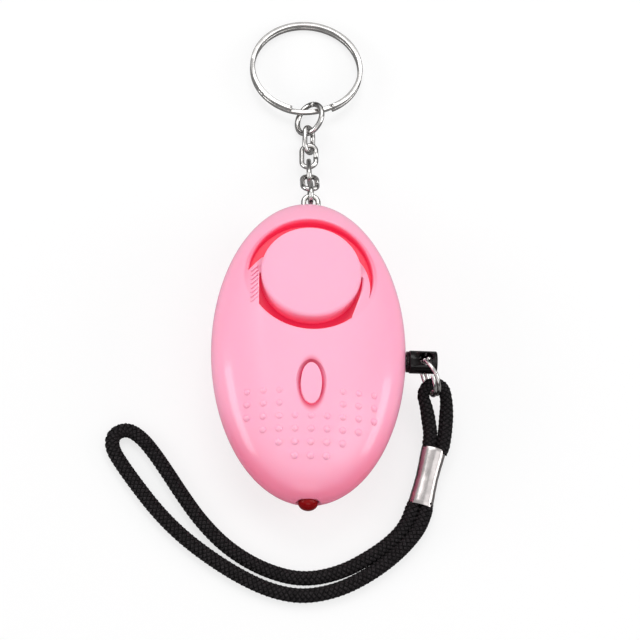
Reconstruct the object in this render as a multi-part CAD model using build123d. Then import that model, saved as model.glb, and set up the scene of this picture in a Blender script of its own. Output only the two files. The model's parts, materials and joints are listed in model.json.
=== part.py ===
from build123d import *

import math
import os

# Personal safety alarm: an egg-shaped pocket siren with a pull pin, lying on its back.
# Millimetres. +Z points out of the front cover, +Y towards the key ring and +X towards
# the pull pin. The origin is the centre of the flat on the back cover, on the table.

# General
OVERRUN = 2.0
RUNNING_GAP = 0.05
SEAT_GAP = 0.1

# Casing
CASE_WIDTH = 39.0
CASE_LENGTH = 66.0
FRONT_DEPTH = 9.0
BACK_DEPTH = 9.6
BACK_FLAT_CUT = 0.6
WALL = 1.5
FULLNESS_SHARE = 0.65
PARTING_GROOVE = 0.15
PARTING_HEIGHT = BACK_DEPTH - BACK_FLAT_CUT
BACK_CAVITY_DEPTH = PARTING_HEIGHT - WALL
FRONT_CAVITY_DEPTH = FRONT_DEPTH - WALL
DOME_SEARCH_STEPS = 40

# Half the round room that the casing has, from the narrower of its two sides
ROUND_ROOM_SHARE = 0.591
HALF_LENGTH = CASE_LENGTH / 2
HALF_WIDTH = CASE_WIDTH / 2
ROOM = min(HALF_WIDTH, ROUND_ROOM_SHARE * HALF_LENGTH)

# Siren outlet in the front cover
SIREN_Y_SHARE = 0.415
SIREN_Y = SIREN_Y_SHARE * HALF_LENGTH
DISC_SHARE = 0.5154
DISC_RADIUS = DISC_SHARE * ROOM
DISC_TOP_SHARE = 0.944
DISC_TOP = PARTING_HEIGHT + DISC_TOP_SHARE * FRONT_DEPTH
DISC_SKIN = 1.2
DISC_WALL = 1.2
DISC_EDGE_ROUND = 0.8
SLOT_SHARE = 0.6385
SLOT_HALF_WIDTH = SLOT_SHARE * ROOM
SLOT_EXTRA_LENGTH = 0.65
SLOT_HALF_LENGTH = SLOT_HALF_WIDTH + SLOT_EXTRA_LENGTH
WELL_WALL = 1.0
WELL_FOOT_SHARE = 0.367
WELL_FOOT = PARTING_HEIGHT + WELL_FOOT_SHARE * FRONT_DEPTH
SKIRT_GAP = 0.7
SLOT_EDGE_ROUND = 0.35
RIM_TOLERANCE_SHARE = 0.002

# Outlines of the two ramps in shares of the slot's half width, from the siren's centre
LEFT_WEB_SHARES = (
    (-0.835, -0.64),
    (-0.835, 0.0),
    (-0.745, 0.0),
    (-0.745, 0.315),
    (-0.8, 0.285),
    (-1.06, 0.0),
    (-1.06, -0.64),
)
RIGHT_WEB_OUTER_SHARES = ((0.785, 0.275), (0.884, 0.096), (0.948, -0.177), (0.925, -0.42))
RIGHT_WEB_INNER_SHARES = ((0.64, -0.82), (0.77, -0.426), (0.82, -0.2), (0.831, -0.02))
RIGHT_WEB_CORNER_SHARES = ((1.03, -0.45), (0.74, -0.93))
RIGHT_WEB_ROOT_SHARES = ((0.745, -0.02), (0.745, 0.34))
WEB_CROWN_SHARE = 0.922
WEB_CROWN = WEB_CROWN_SHARE * FRONT_DEPTH
WEB_TILT = 9.0
WEB_LOW_SHARE = 0.62

# Sound ring, siren plate and holder
SOUND_RING_THICKNESS = 0.75
SOUND_HOLE_RADIUS = 0.75
SOUND_HOLES = 10
SOUND_HOLE_CIRCLE_SHARE = 0.56
HOLDER_WALL = 1.0
HOLDER_MARGIN = 0.15
HOLDER_RADIUS = SLOT_HALF_WIDTH + WELL_WALL - HOLDER_MARGIN
PLATE_RADIUS = HOLDER_RADIUS - HOLDER_WALL - HOLDER_MARGIN
PLATE_THICKNESS = 0.25
CERAMIC_SHARE = 0.62
CERAMIC_RADIUS = CERAMIC_SHARE * PLATE_RADIUS
CERAMIC_THICKNESS = 0.2
GASKET_WIDTH = 1.4
GASKET_THICKNESS = 0.3
HOLDER_FLOOR = 0.8
HOLDER_HEIGHT = 2.7
HOLDER_STEP_WIDTH = 1.0

# Light button
BUTTON_Y_SHARE = 0.3333
BUTTON_Y = -BUTTON_Y_SHARE * HALF_LENGTH
BUTTON_WIDTH = 4.1
BUTTON_LENGTH = 8.5
BUTTON_GAP = 0.15
BUTTON_PROUD = 0.1
BUTTON_TRAVEL = 0.3
FLANGE_MARGIN = 0.9
FLANGE_THICKNESS = 0.6
DISH_MARGIN = 0.95
DISH_DEPTH = 0.75

# Grip bumps
BUMP_RADIUS = 0.8
BUMP_SEAM_TURN = 37.0
BUMP_PITCH_X_SHARE = 0.1574
BUMP_PITCH_X = BUMP_PITCH_X_SHARE * HALF_WIDTH
BUMP_PITCH_Y_SHARE = 0.0776
BUMP_PITCH_Y = BUMP_PITCH_Y_SHARE * HALF_LENGTH
BUMP_FIRST_Y_SHARE = 0.379
BUMP_FIRST_Y = -BUMP_FIRST_Y_SHARE * HALF_LENGTH
BUMP_SINK = 0.52
BUMP_RISE = 0.035
BUMP_ROW_REACH = (4, 4, 4, 3, 2, 1)
BUMP_ROWS_BESIDE_BUTTON = 2
BUMP_CLEAR_COLUMNS = 2

# Circuit board
BOARD_THICKNESS = 1.0
BOARD_RISE = 2.2
BOARD_UNDERSIDE = PARTING_HEIGHT + BOARD_RISE
BOARD_TOP = BOARD_UNDERSIDE + BOARD_THICKNESS
BOARD_SHARE = 0.4615
BOARD_HALF_WIDTH = BOARD_SHARE * HALF_WIDTH
BOARD_HIGH_Y = -0.4
BOARD_LOW_SHARE = 0.7576
BOARD_LOW_Y = -BOARD_LOW_SHARE * HALF_LENGTH
BOARD_CORNER = 3.0
TAB_REACH_SHARE = 0.1795
TAB_REACH = TAB_REACH_SHARE * HALF_WIDTH
TAB_LOW_Y = -5.6
TAB_HIGH_Y = 1.3
STANDOFF_RADIUS = 1.1
STAKE_RADIUS = 0.6
STAKE_HEAD = 0.4
STANDOFF_SHARES = ((-0.39, -0.085), (0.318, -0.067), (0.0, -0.576))
STANDOFFS = tuple((x * HALF_WIDTH, y * HALF_LENGTH) for x, y in STANDOFF_SHARES)

# Tact switch under the light button
SWITCH_SIDE = 4.5
SWITCH_HEIGHT = 2.1
SWITCH_PLUNGER_RADIUS = 1.0
SWITCH_PLUNGER_RISE = 0.7
SWITCH_WELL_SHARE = 0.6

# Light
LAMP_DROP = 0.3
LAMP_HEIGHT = PARTING_HEIGHT - LAMP_DROP
BULB_RADIUS = 1.5
BULB_RIM = 0.3
BULB_RIM_LENGTH = 0.9
BULB_BASE_FROM_TIP = 6.5
BULB_BASE_Y = BULB_BASE_FROM_TIP - HALF_LENGTH
BULB_LENGTH = 5.0
BULB_LEAD_RADIUS = 0.25
BULB_LEAD_SPACING = 2.0
BULB_LEAD_REACH = 2.4
BULB_LEAD_BEND = 0.6
LENS_RADIUS = 1.95
LENS_WALL = 0.35
LENS_PROUD = 1.1
LENS_DOME = 1.5
LENS_LENGTH = 4.5
LENS_FLANGE = 0.5
LENS_FLANGE_THICKNESS = 0.6
LENS_NOTCH = 0.5
LENS_NOTCH_MARGIN = 0.55

# Cells and their contacts
CELL_SHARE = 0.5128
CELL_RADIUS = CELL_SHARE * ROOM
CELL_HEIGHT = 3.2
CELL_CAN_SHARE = 0.9
CELL_CAP_SHARE = 0.87
CELL_COUNT = 2
CELL_EDGE = 0.3
CELL_Y_SHARE = 0.2727
CELL_Y = -CELL_Y_SHARE * HALF_LENGTH
CELL_GAP = 0.2
CELL_WALL = 0.9
CELL_WALL_DROP = 2.5
CELL_WALL_TOP = PARTING_HEIGHT - CELL_WALL_DROP
CONTACT_THICKNESS = 0.2
CONTACT_WIDTH = 4.0
CONTACT_BEND = 0.4
CONTACT_DROP = 6.0
CONTACT_HEIGHT = PARTING_HEIGHT - CONTACT_DROP
CONTACT_TAIL_GAP = 0.35
CONTACT_FOOT = 1.9
SEAT_RIB = 1.0
SEAT_RIB_LENGTH_SHARE = 0.8
TOP_CONTACT_REACH = 5.5
TOP_CONTACT_FOOT = 1.6
TOP_CONTACT_DIP_SHARE = 0.35

# Pull pin
PIN_Y = -1.8
PIN_ROD_RADIUS = 1.5
PIN_ROD_SHARE = 0.5333
PIN_ROD_LENGTH = PIN_ROD_SHARE * HALF_WIDTH
PIN_ROD_TAPER = 0.5
PIN_HEAD_RADIUS = 2.3
PIN_HEAD_LENGTH = 5.65
PIN_COLLAR_RADIUS = 2.1
PIN_COLLAR_LENGTH = 0.5
PIN_EDGE = 0.35
PIN_HOLE_RADIUS = 1.4
PIN_HOLE_FROM_END = 2.35
PIN_HEIGHT = PARTING_HEIGHT
PIN_SEAT_X = HALF_WIDTH + SEAT_GAP
GUIDE_WALL = 1.15
GUIDE_LENGTH = 5.0
LEAF_WIDTH = 2.4
LEAF_THICKNESS = 0.2
LEAF_FOOT = 1.3
LEAF_LENGTH = 3.6
LEAF_CLEARANCE = 0.2

# Screws
SCREW_LOW_SHARES = (0.6154, -0.53)
SCREW_HIGH_SHARES = (0.6667, 0.136)
SCREW_HEAD_RADIUS = 1.8
SCREW_HEAD_HEIGHT = 1.2
SCREW_SHANK_RADIUS = 0.95
SCREW_LENGTH = 7.4
SCREW_SINK = 0.5
SCREW_CROSS = 0.45
SCREW_CROSS_LENGTH_SHARE = 1.2
FRONT_BOSS_RADIUS = 2.1
BACK_BOSS_RADIUS = 2.7

# Parts on the board
CHIP_SIZE = (5.0, 4.0, 1.5)
CHIP_PLACE = (-5.6, -16.8)
TRANSISTOR_SIZE = (4.2, 3.6, 1.9)
TRANSISTOR_PLACE = (5.6, -17.0)
CAPACITOR_RADIUS = 2.0
CAPACITOR_HEIGHT = 2.7
CAPACITOR_EDGE = 0.25
CAPACITOR_PLACE = (5.6, -7.6)
RESISTOR_SIZE = (3.2, 1.6, 0.6)
RESISTOR_X = -6.2
RESISTOR_FIRST_Y = -6.2
RESISTOR_PITCH = 2.8
RESISTORS = 3
COIL_FLANGE_RADIUS = 2.5
COIL_WINDING_RADIUS = 2.1
COIL_FLANGE = 0.7
COIL_HEIGHT = 5.6
COIL_SHARES = (-0.246, -0.676)
COIL_PLACE = (COIL_SHARES[0] * HALF_WIDTH, COIL_SHARES[1] * HALF_LENGTH)
WIRE_RADIUS = 0.45
WIRE_X_SHARE = 0.3538
WIRE_X = WIRE_X_SHARE * HALF_WIDTH
WIRE_START_Y = -0.88
WIRE_RISE_SHARE = 0.2424
WIRE_RISE_Y = WIRE_RISE_SHARE * HALF_LENGTH
WIRE_DROP = 0.5
WIRE_HEIGHT = PARTING_HEIGHT - WIRE_DROP
WIRE_BEND = 0.9
WIRE_HOLE_RADIUS = 0.8

# Chain of plain links, from the casing to the jump ring
CHAIN_X = 0.4
LINK_WIRE = 1.05
LINK_LENGTH = 6.7
LINK_WIDTH = 4.05
LINK_JOINT_GAP = 0.14
LINK_SLACK = 0.1
LAST_LINK_SLACK = 0.46
LINK_FALLS = (-34.5, -32.4, -23.4, -6.5, 8.5)
LINK_ROLLS = (90.0, 0.0, 85.0, -10.4, 53.0)
ANCHOR_REACH = 3.05
NICHE_HALF_WIDTH = 3.1
NICHE_HALF_HEIGHT = 1.1
NICHE_DEPTH = 4.7
POST_RADIUS = 0.85
POST_GAP = 0.12
POST_SEAT_DEPTH = 1.3
LUG_RADIUS = 2.2

# Jump ring
JUMP_WIRE = 1.15
JUMP_RADIUS = 3.43
JUMP_ROLL = 44.4
JUMP_SLACK = 0.28
JUMP_SIDE = 0.1
JUMP_LIFT = 0.28
JUMP_OPENING = 9.0
JUMP_OPENING_TURN = 70.0

# Key ring: a split ring of two flat turns that leans on the jump ring
KEY_RING_DIAMETER = 24.4
KEY_RING_WIDTH = 1.0
KEY_RING_TURN = 0.93
KEY_RING_GAP = 0.03
KEY_RING_EDGE = 0.2
KEY_RING_STEP = 44.0
KEY_RING_STEP_TURN = -84.0
KEY_RING_X = -0.17
KEY_BAND_SHARE = 0.5
KEY_FLOOR_GAP = 0.05

# Split ring through the pull pin
PIN_RING_WIRE = 0.8
PIN_RING_RADIUS = 3.8
PIN_RING_GAP = 0.03
PIN_RING_STEP = 60.0
PIN_RING_STEP_TURN = 100.0
PIN_RING_TURN = 20.4
PIN_RING_REACH = 2.95
PIN_RING_HANG = 0.7

# Wrist cord and its crimped ferrule
CORD_DIAMETER = 2.6
CORD_ARC_SHARE = 0.45
FERRULE_HIGH = (25.5, -18.2, 3.2)
FERRULE_LOW = (22.6, -30.1, 2.3)
FERRULE_HALF_WIDTH = 2.6
FERRULE_HALF_THICKNESS = 1.65
FERRULE_WAIST_SHARE = 0.86

# Hand-chosen route of the eye, from the ferrule round the split ring and back
EYE_ROUTE = (
    (24.31, -18.4, 3.25),
    (24.95, -15.8, 3.5),
    (24.55, -12.9, 4.1),
    (23.95, -9.9, 5.3),
    (22.95, -7.3, 6.35),
    (24.8, -5.15, 7.05),
    (27.4, -5.75, 6.4),
    (28.05, -8.6, 5.5),
    (27.95, -12.6, 4.3),
    (27.55, -16.4, 3.5),
    (26.93, -19.05, 3.25),
)

# Hand-chosen route of the wrist loop, lying on the table
LOOP_ROUTE = (
    (21.39, -29.3, 2.35),
    (20.55, -32.7, 1.95),
    (18.0, -36.4, 1.45),
    (13.4, -40.2, 1.32),
    (6.9, -44.1, 1.31),
    (-0.6, -45.8, 1.31),
    (-8.1, -43.9, 1.31),
    (-15.0, -39.8, 1.31),
    (-20.3, -34.4, 1.31),
    (-24.2, -28.9, 1.31),
    (-27.6, -23.6, 1.31),
    (-30.4, -19.5, 1.31),
    (-32.9, -16.5, 1.31),
    (-35.7, -14.8, 1.31),
    (-38.4, -16.1, 1.31),
    (-38.6, -19.0, 1.31),
    (-36.4, -22.6, 1.31),
    (-33.0, -27.3, 1.31),
    (-29.1, -32.3, 1.31),
    (-24.5, -37.0, 1.31),
    (-18.9, -41.4, 1.31),
    (-12.6, -45.4, 1.31),
    (-6.4, -48.2, 1.31),
    (-0.2, -49.2, 1.31),
    (6.6, -47.6, 1.31),
    (12.7, -44.2, 1.32),
    (17.9, -40.0, 1.36),
    (21.7, -35.7, 1.75),
    (23.35, -32.4, 2.1),
    (24.05, -29.6, 2.35),
)


# Casing forms


def dome_radius_share(step):
    """Share of the half width that the dome's profile has reached at a step of its curve."""
    rest = 1 - step
    return 3 * rest**2 * step * FULLNESS_SHARE + 3 * rest * step**2 + step**3


def dome_height_share(step):
    """Share of the dome's height that its profile still has at a step of its curve."""
    rest = 1 - step
    return rest**3 + 3 * rest**2 * step + 3 * rest * step**2 * FULLNESS_SHARE


def surface_height(x, y, depth):
    """Height of a dome of the casing's outline above the parting plane, over a point."""
    target = math.hypot(2 * x / CASE_WIDTH, 2 * y / CASE_LENGTH)
    low, high = 0.0, 1.0
    for _ in range(DOME_SEARCH_STEPS):
        middle = (low + high) / 2
        if dome_radius_share(middle) < target:
            low = middle
        else:
            high = middle
    return depth * dome_height_share(low)


def dome(width, length, depth):
    """Solid half egg on the XY plane: a full round profile, turned and drawn out along Y."""
    half = width / 2
    crown = Bezier(
        (0, depth),
        (FULLNESS_SHARE * half, depth),
        (half, FULLNESS_SHARE * depth),
        (half, 0),
    )
    outline = Curve() + [crown, Line((half, 0), (0, 0)), Line((0, 0), (0, depth))]
    turned = revolve(Plane.XZ * make_face(outline), Axis.Z)
    return scale(turned, by=(1, length / width, 1))


def front_outside():
    """Full outer form of the front cover."""
    return Pos(0, 0, PARTING_HEIGHT) * dome(CASE_WIDTH, CASE_LENGTH, FRONT_DEPTH)


def back_outside():
    """Full outer form of the back cover, with the flat that it rests on."""
    full = Pos(0, 0, PARTING_HEIGHT) * Rot(180, 0, 0) * dome(CASE_WIDTH, CASE_LENGTH, BACK_DEPTH)
    below = Box(CASE_WIDTH, CASE_LENGTH, BACK_DEPTH, align=(Align.CENTER, Align.CENTER, Align.MAX))
    return full - below


def cavity(depth, turn):
    """Inside of one cover, a wall smaller than its outside all round."""
    inner = dome(CASE_WIDTH - 2 * WALL, CASE_LENGTH - 2 * WALL, depth)
    return Pos(0, 0, PARTING_HEIGHT) * Rot(turn, 0, 0) * inner


def column(radius, low, high, x=0.0, y=0.0):
    """Upright cylinder between two heights."""
    bottom = (Align.CENTER, Align.CENTER, Align.MIN)
    return Pos(x, y, low) * Cylinder(radius, high - low, align=bottom)


def block(x_range, y_range, z_range):
    """Box between two values on each axis."""
    size = [high - low for low, high in (x_range, y_range, z_range)]
    centre = [(high + low) / 2 for low, high in (x_range, y_range, z_range)]
    return Pos(*centre) * Box(*size)


def oval_column(half_width, half_length, low, high, y):
    """Upright elliptical prism between two heights."""
    return Pos(0, y, low) * extrude(Ellipse(half_width, half_length), high - low)


def crossbar(radius, start_x, end_x):
    """Cylinder along X on the pull pin's axis."""
    left = (Align.CENTER, Align.CENTER, Align.MIN)
    return Pos(start_x, PIN_Y, PIN_HEIGHT) * Rot(0, 90, 0) * Cylinder(radius, end_x - start_x, align=left)


def lengthways(radius, start_y, end_y):
    """Cylinder along Y on the lamp's axis, from the higher y to the lower."""
    near = (Align.CENTER, Align.CENTER, Align.MIN)
    return Pos(0, start_y, LAMP_HEIGHT) * Rot(90, 0, 0) * Cylinder(radius, start_y - end_y, align=near)


def parting_groove():
    """Thin ring that is cut from both covers where they meet."""
    outer = oval_column(CASE_WIDTH, CASE_LENGTH, 0, 2 * PARTING_GROOVE, 0)
    half_width = HALF_WIDTH - PARTING_GROOVE
    half_length = HALF_LENGTH - PARTING_GROOVE
    kept = oval_column(half_width, half_length, -OVERRUN, 2 * PARTING_GROOVE + OVERRUN, 0)
    return Pos(0, 0, PARTING_HEIGHT - PARTING_GROOVE) * (outer - kept)


def shared_openings():
    """Openings that the two covers share: pin bore, lamp hole and chain niche."""
    bore = crossbar(PIN_ROD_RADIUS + RUNNING_GAP, 0, CASE_WIDTH)
    lamp_hole = lengthways(LENS_RADIUS + SEAT_GAP, -CASE_LENGTH / 4, -CASE_LENGTH)
    notch_start = LENS_NOTCH - HALF_LENGTH
    notch = lengthways(LENS_RADIUS + LENS_NOTCH_MARGIN, notch_start, -CASE_LENGTH)
    niche = block(
        (CHAIN_X - NICHE_HALF_WIDTH, CHAIN_X + NICHE_HALF_WIDTH),
        (HALF_LENGTH - NICHE_DEPTH, HALF_LENGTH + OVERRUN),
        (PARTING_HEIGHT - NICHE_HALF_HEIGHT, PARTING_HEIGHT + NICHE_HALF_HEIGHT),
    )
    return [bore, lamp_hole, notch, niche]


def pin_guide():
    """Tube round the pull pin's rod, inside the casing wall."""
    outer_end = HALF_WIDTH
    return crossbar(PIN_ROD_RADIUS + GUIDE_WALL, outer_end - WALL - GUIDE_LENGTH, outer_end)


def screw_places():
    """Places of the four case screws, seen from the front."""
    shares = (SCREW_LOW_SHARES, SCREW_HIGH_SHARES)
    return [(side * x * HALF_WIDTH, y * HALF_LENGTH) for x, y in shares for side in (-1, 1)]


def screw_seat(x, y):
    """Height of the ledge that a screw's head bears on."""
    outside = PARTING_HEIGHT - surface_height(x, y, BACK_DEPTH)
    return outside + SCREW_SINK + SCREW_HEAD_HEIGHT


def post_y():
    """Place of the anchor post, which the pulled anchor link bears against."""
    return anchor_centre_y() - LINK_LENGTH / 2 + LINK_WIRE + POST_RADIUS + POST_GAP


def anchor_centre_y():
    """Centre of the anchor link, which stands out of the casing by its reach."""
    return HALF_LENGTH + ANCHOR_REACH - LINK_LENGTH / 2


# Front cover


def siren_disc():
    """Round cap over the siren, hollow below, with a rounded rim."""
    skirt_foot = WELL_FOOT + SOUND_RING_THICKNESS + SKIRT_GAP
    cap = column(DISC_RADIUS, skirt_foot, DISC_TOP)
    cap = fillet(cap.edges().sort_by(Axis.Z)[-1], DISC_EDGE_ROUND)
    hollow = column(DISC_RADIUS - DISC_WALL, skirt_foot - OVERRUN, DISC_TOP - DISC_SKIN)
    return Pos(0, SIREN_Y, 0) * (cap - hollow)


def web_points(shares):
    """Points of a ramp's outline, from their shares of the slot's half width."""
    return [(x * SLOT_HALF_WIDTH, y * SLOT_HALF_WIDTH) for x, y in shares]


def siren_webs():
    """Two ramps that carry the disc, flush with the casing at their lower ends."""
    skirt_foot = WELL_FOOT + SOUND_RING_THICKNESS + SKIRT_GAP
    ring = Ellipse(SLOT_HALF_WIDTH + WELL_WALL / 2, SLOT_HALF_LENGTH + WELL_WALL / 2)
    ring -= Circle(DISC_RADIUS - DISC_WALL / 2)
    left = Polygon(*web_points(LEFT_WEB_SHARES), align=None)
    outer = Spline(*web_points(RIGHT_WEB_OUTER_SHARES))
    inner = Spline(*web_points(RIGHT_WEB_INNER_SHARES))
    foot = Polyline(outer @ 1, *web_points(RIGHT_WEB_CORNER_SHARES), inner @ 0)
    root = Polyline(inner @ 1, *web_points(RIGHT_WEB_ROOT_SHARES), outer @ 0)
    right = make_face(Curve() + [outer, foot, inner, root])
    region = ring & (left + right)
    ramp = Pos(0, 0, skirt_foot) * extrude(region, DISC_TOP - skirt_foot)
    low_side = (Align.CENTER, Align.CENTER, Align.MIN)
    above = Box(CASE_WIDTH, CASE_WIDTH, FRONT_DEPTH, align=low_side)
    low_y = -WEB_LOW_SHARE * SLOT_HALF_LENGTH
    above = Pos(0, low_y, PARTING_HEIGHT + WEB_CROWN) * Rot(-WEB_TILT, 0, 0) * above
    return Pos(0, SIREN_Y, 0) * (ramp - above)


def grip_bumps():
    """Rows of low domes below the light button, larger towards the casing's edge."""
    bumps = []
    for row, reach in enumerate(BUMP_ROW_REACH):
        y = BUMP_FIRST_Y - row * BUMP_PITCH_Y
        for place in range(-reach, reach + 1):
            if row < BUMP_ROWS_BESIDE_BUTTON and abs(place) < BUMP_CLEAR_COLUMNS:
                continue
            x = place * BUMP_PITCH_X
            sink = BUMP_SINK - BUMP_RISE * (row + abs(place) / 2)
            height = PARTING_HEIGHT + surface_height(x, y, FRONT_DEPTH) - sink
            bumps.append(Pos(x, y, height) * Rot(0, 0, BUMP_SEAM_TURN) * Sphere(BUMP_RADIUS))
    return bumps


def slot_rim(edge):
    """Whether an edge is the upper rim of the siren's slot."""
    reach = Vector(0, SIREN_Y, 0)
    middle = edge @ (1 / 2)
    span = math.hypot(middle.X / SLOT_HALF_WIDTH, (middle.Y - reach.Y) / SLOT_HALF_LENGTH)
    return abs(span - 1) < RIM_TOLERANCE_SHARE and middle.Z > PARTING_HEIGHT + WELL_FOOT_SHARE * FRONT_DEPTH


def front_cover():
    """Front half of the casing with the siren outlet, button dish, bumps and bosses."""
    outside = front_outside()
    shell = outside - cavity(FRONT_CAVITY_DEPTH, 0)
    top = PARTING_HEIGHT + FRONT_DEPTH
    slot = oval_column(SLOT_HALF_WIDTH, SLOT_HALF_LENGTH, PARTING_HEIGHT, top, SIREN_Y)
    well = oval_column(SLOT_HALF_WIDTH + WELL_WALL, SLOT_HALF_LENGTH + WELL_WALL, WELL_FOOT, top, SIREN_Y)
    inner = [well, pin_guide() & block((0, CASE_WIDTH), (-CASE_WIDTH, CASE_WIDTH), (PARTING_HEIGHT, top))]
    inner += [column(FRONT_BOSS_RADIUS, PARTING_HEIGHT, top, x, y) for x, y in screw_places()]
    inner += [column(STANDOFF_RADIUS, BOARD_TOP, top, x, y) for x, y in STANDOFFS]
    inner.append(column(LUG_RADIUS, PARTING_HEIGHT + NICHE_HALF_HEIGHT, top, CHAIN_X, post_y()))
    inside = Part() + inner
    cover = shell + (inside & outside)
    cover -= slot
    rims = cover.edges().filter_by(lambda edge: slot_rim(edge))
    cover = fillet(rims, SLOT_EDGE_ROUND)
    cover += [siren_disc(), siren_webs() & outside]
    for bump in grip_bumps():
        cover += bump
    stake_foot = BOARD_UNDERSIDE - STAKE_HEAD
    cover += [column(STAKE_RADIUS, stake_foot, BOARD_TOP + OVERRUN, x, y) for x, y in STANDOFFS]
    button_height = PARTING_HEIGHT + surface_height(0, BUTTON_Y, FRONT_DEPTH)
    dish = scale(
        Sphere(1),
        by=(BUTTON_WIDTH / 2 + DISH_MARGIN, BUTTON_LENGTH / 2 + DISH_MARGIN, DISH_DEPTH),
    )
    hole = oval_column(
        BUTTON_WIDTH / 2 + BUTTON_GAP,
        BUTTON_LENGTH / 2 + BUTTON_GAP,
        PARTING_HEIGHT,
        top + OVERRUN,
        BUTTON_Y,
    )
    cover -= [Pos(0, BUTTON_Y, button_height) * dish, hole, parting_groove()]
    cover -= shared_openings()
    pilots = []
    for x, y in screw_places():
        tip = screw_seat(x, y) + SCREW_LENGTH + SCREW_SINK
        pilots.append(column(SCREW_SHANK_RADIUS + RUNNING_GAP, PARTING_HEIGHT - OVERRUN, tip, x, y))
    post_hole_top = PARTING_HEIGHT + NICHE_HALF_HEIGHT + POST_SEAT_DEPTH
    post_hole = column(POST_RADIUS + RUNNING_GAP, PARTING_HEIGHT, post_hole_top, CHAIN_X, post_y())
    return cover - pilots - post_hole


# Back cover


def back_cover():
    """Back half of the casing with the cell well, ribs and screw bosses."""
    outside = back_outside()
    shell = outside - cavity(BACK_CAVITY_DEPTH, 180)
    well = column(CELL_RADIUS + CELL_GAP + CELL_WALL, 0, CELL_WALL_TOP, 0, CELL_Y)
    well -= column(CELL_RADIUS + CELL_GAP, -OVERRUN, CELL_WALL_TOP + OVERRUN, 0, CELL_Y)
    well -= block(
        (-CASE_WIDTH, 0),
        (CELL_Y - CONTACT_WIDTH / 2 - CELL_GAP, CELL_Y + CONTACT_WIDTH / 2 + CELL_GAP),
        (CONTACT_HEIGHT, PARTING_HEIGHT),
    )
    rib = SEAT_RIB_LENGTH_SHARE * CELL_RADIUS
    seats = [
        block((-rib, rib), (CELL_Y - SEAT_RIB / 2, CELL_Y + SEAT_RIB / 2), (0, CONTACT_HEIGHT)),
        block((-SEAT_RIB / 2, SEAT_RIB / 2), (CELL_Y - rib, CELL_Y + rib), (0, CONTACT_HEIGHT)),
    ]
    guide = pin_guide() & block((0, CASE_WIDTH), (-CASE_WIDTH, CASE_WIDTH), (0, PARTING_HEIGHT))
    bosses = [column(BACK_BOSS_RADIUS, 0, PARTING_HEIGHT, x, y) for x, y in screw_places()]
    lug = column(LUG_RADIUS, 0, PARTING_HEIGHT - NICHE_HALF_HEIGHT, CHAIN_X, post_y())
    inside = Part() + [well, *seats, guide, *bosses, lug]
    cover = shell + (inside & outside)
    cuts = [parting_groove(), *shared_openings()]
    for x, y in screw_places():
        seat = screw_seat(x, y)
        cuts.append(column(SCREW_HEAD_RADIUS + SEAT_GAP, -OVERRUN, seat, x, y))
        cuts.append(column(SCREW_SHANK_RADIUS + SEAT_GAP, seat, PARTING_HEIGHT + OVERRUN, x, y))
    post_hole_low = PARTING_HEIGHT - NICHE_HALF_HEIGHT - POST_SEAT_DEPTH
    cuts.append(column(POST_RADIUS + RUNNING_GAP, post_hole_low, PARTING_HEIGHT, CHAIN_X, post_y()))
    return cover - cuts


def case_screws():
    """Four pan-head screws with a cross recess, driven in from the back."""
    head = column(SCREW_HEAD_RADIUS, -SCREW_HEAD_HEIGHT, 0)
    head = fillet(head.edges().sort_by(Axis.Z)[0], SCREW_HEAD_HEIGHT / 2)
    cross_length = SCREW_CROSS_LENGTH_SHARE * SCREW_HEAD_RADIUS
    bar = Box(cross_length, SCREW_CROSS, SCREW_HEAD_HEIGHT)
    cross = Pos(0, 0, -SCREW_HEAD_HEIGHT) * (bar + Rot(0, 0, 90) * bar)
    shank = column(SCREW_SHANK_RADIUS, 0, SCREW_LENGTH)
    shank = chamfer(shank.edges().sort_by(Axis.Z)[-1], SCREW_SHANK_RADIUS / 2)
    screw = head - cross + shank
    return Compound(children=[Pos(x, y, screw_seat(x, y)) * screw for x, y in screw_places()])


# Light button, switch and lamp


def light_button():
    """Oval push button, crowned like the casing, with a flange under the cover."""
    top = PARTING_HEIGHT + FRONT_DEPTH
    foot = BOARD_TOP + SWITCH_HEIGHT + SWITCH_PLUNGER_RISE
    stem = oval_column(BUTTON_WIDTH / 2, BUTTON_LENGTH / 2, foot, top, BUTTON_Y)
    flange = oval_column(
        BUTTON_WIDTH / 2 + FLANGE_MARGIN,
        BUTTON_LENGTH / 2 + FLANGE_MARGIN,
        foot,
        foot + FLANGE_THICKNESS,
        BUTTON_Y,
    )
    return (stem + flange) & (Pos(0, 0, BUTTON_PROUD) * front_outside())


def light_switch():
    """Body of the tact switch, with the well that its plunger sinks into."""
    half = SWITCH_SIDE / 2
    body = block((-half, half), (BUTTON_Y - half, BUTTON_Y + half), (BOARD_TOP, BOARD_TOP + SWITCH_HEIGHT))
    well_floor = BOARD_TOP + SWITCH_HEIGHT * (1 - SWITCH_WELL_SHARE)
    well_radius = SWITCH_PLUNGER_RADIUS + RUNNING_GAP
    return body - column(well_radius, well_floor, BOARD_UNDERSIDE + FRONT_DEPTH, 0, BUTTON_Y)


def switch_plunger():
    """Plunger of the tact switch, between its well and the button."""
    top = BOARD_TOP + SWITCH_HEIGHT + SWITCH_PLUNGER_RISE
    well_floor = BOARD_TOP + SWITCH_HEIGHT * (1 - SWITCH_WELL_SHARE)
    return column(SWITCH_PLUNGER_RADIUS, well_floor + BUTTON_TRAVEL + SEAT_GAP, top, 0, BUTTON_Y)


def domed_rod(radius, dome_height, start_y, end_y):
    """Rod along Y with a domed far end, on the lamp's axis."""
    crown_y = end_y + dome_height
    crown = scale(Sphere(1), by=(radius, dome_height, radius))
    return lengthways(radius, start_y, crown_y) + Pos(0, crown_y, LAMP_HEIGHT) * crown


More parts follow.
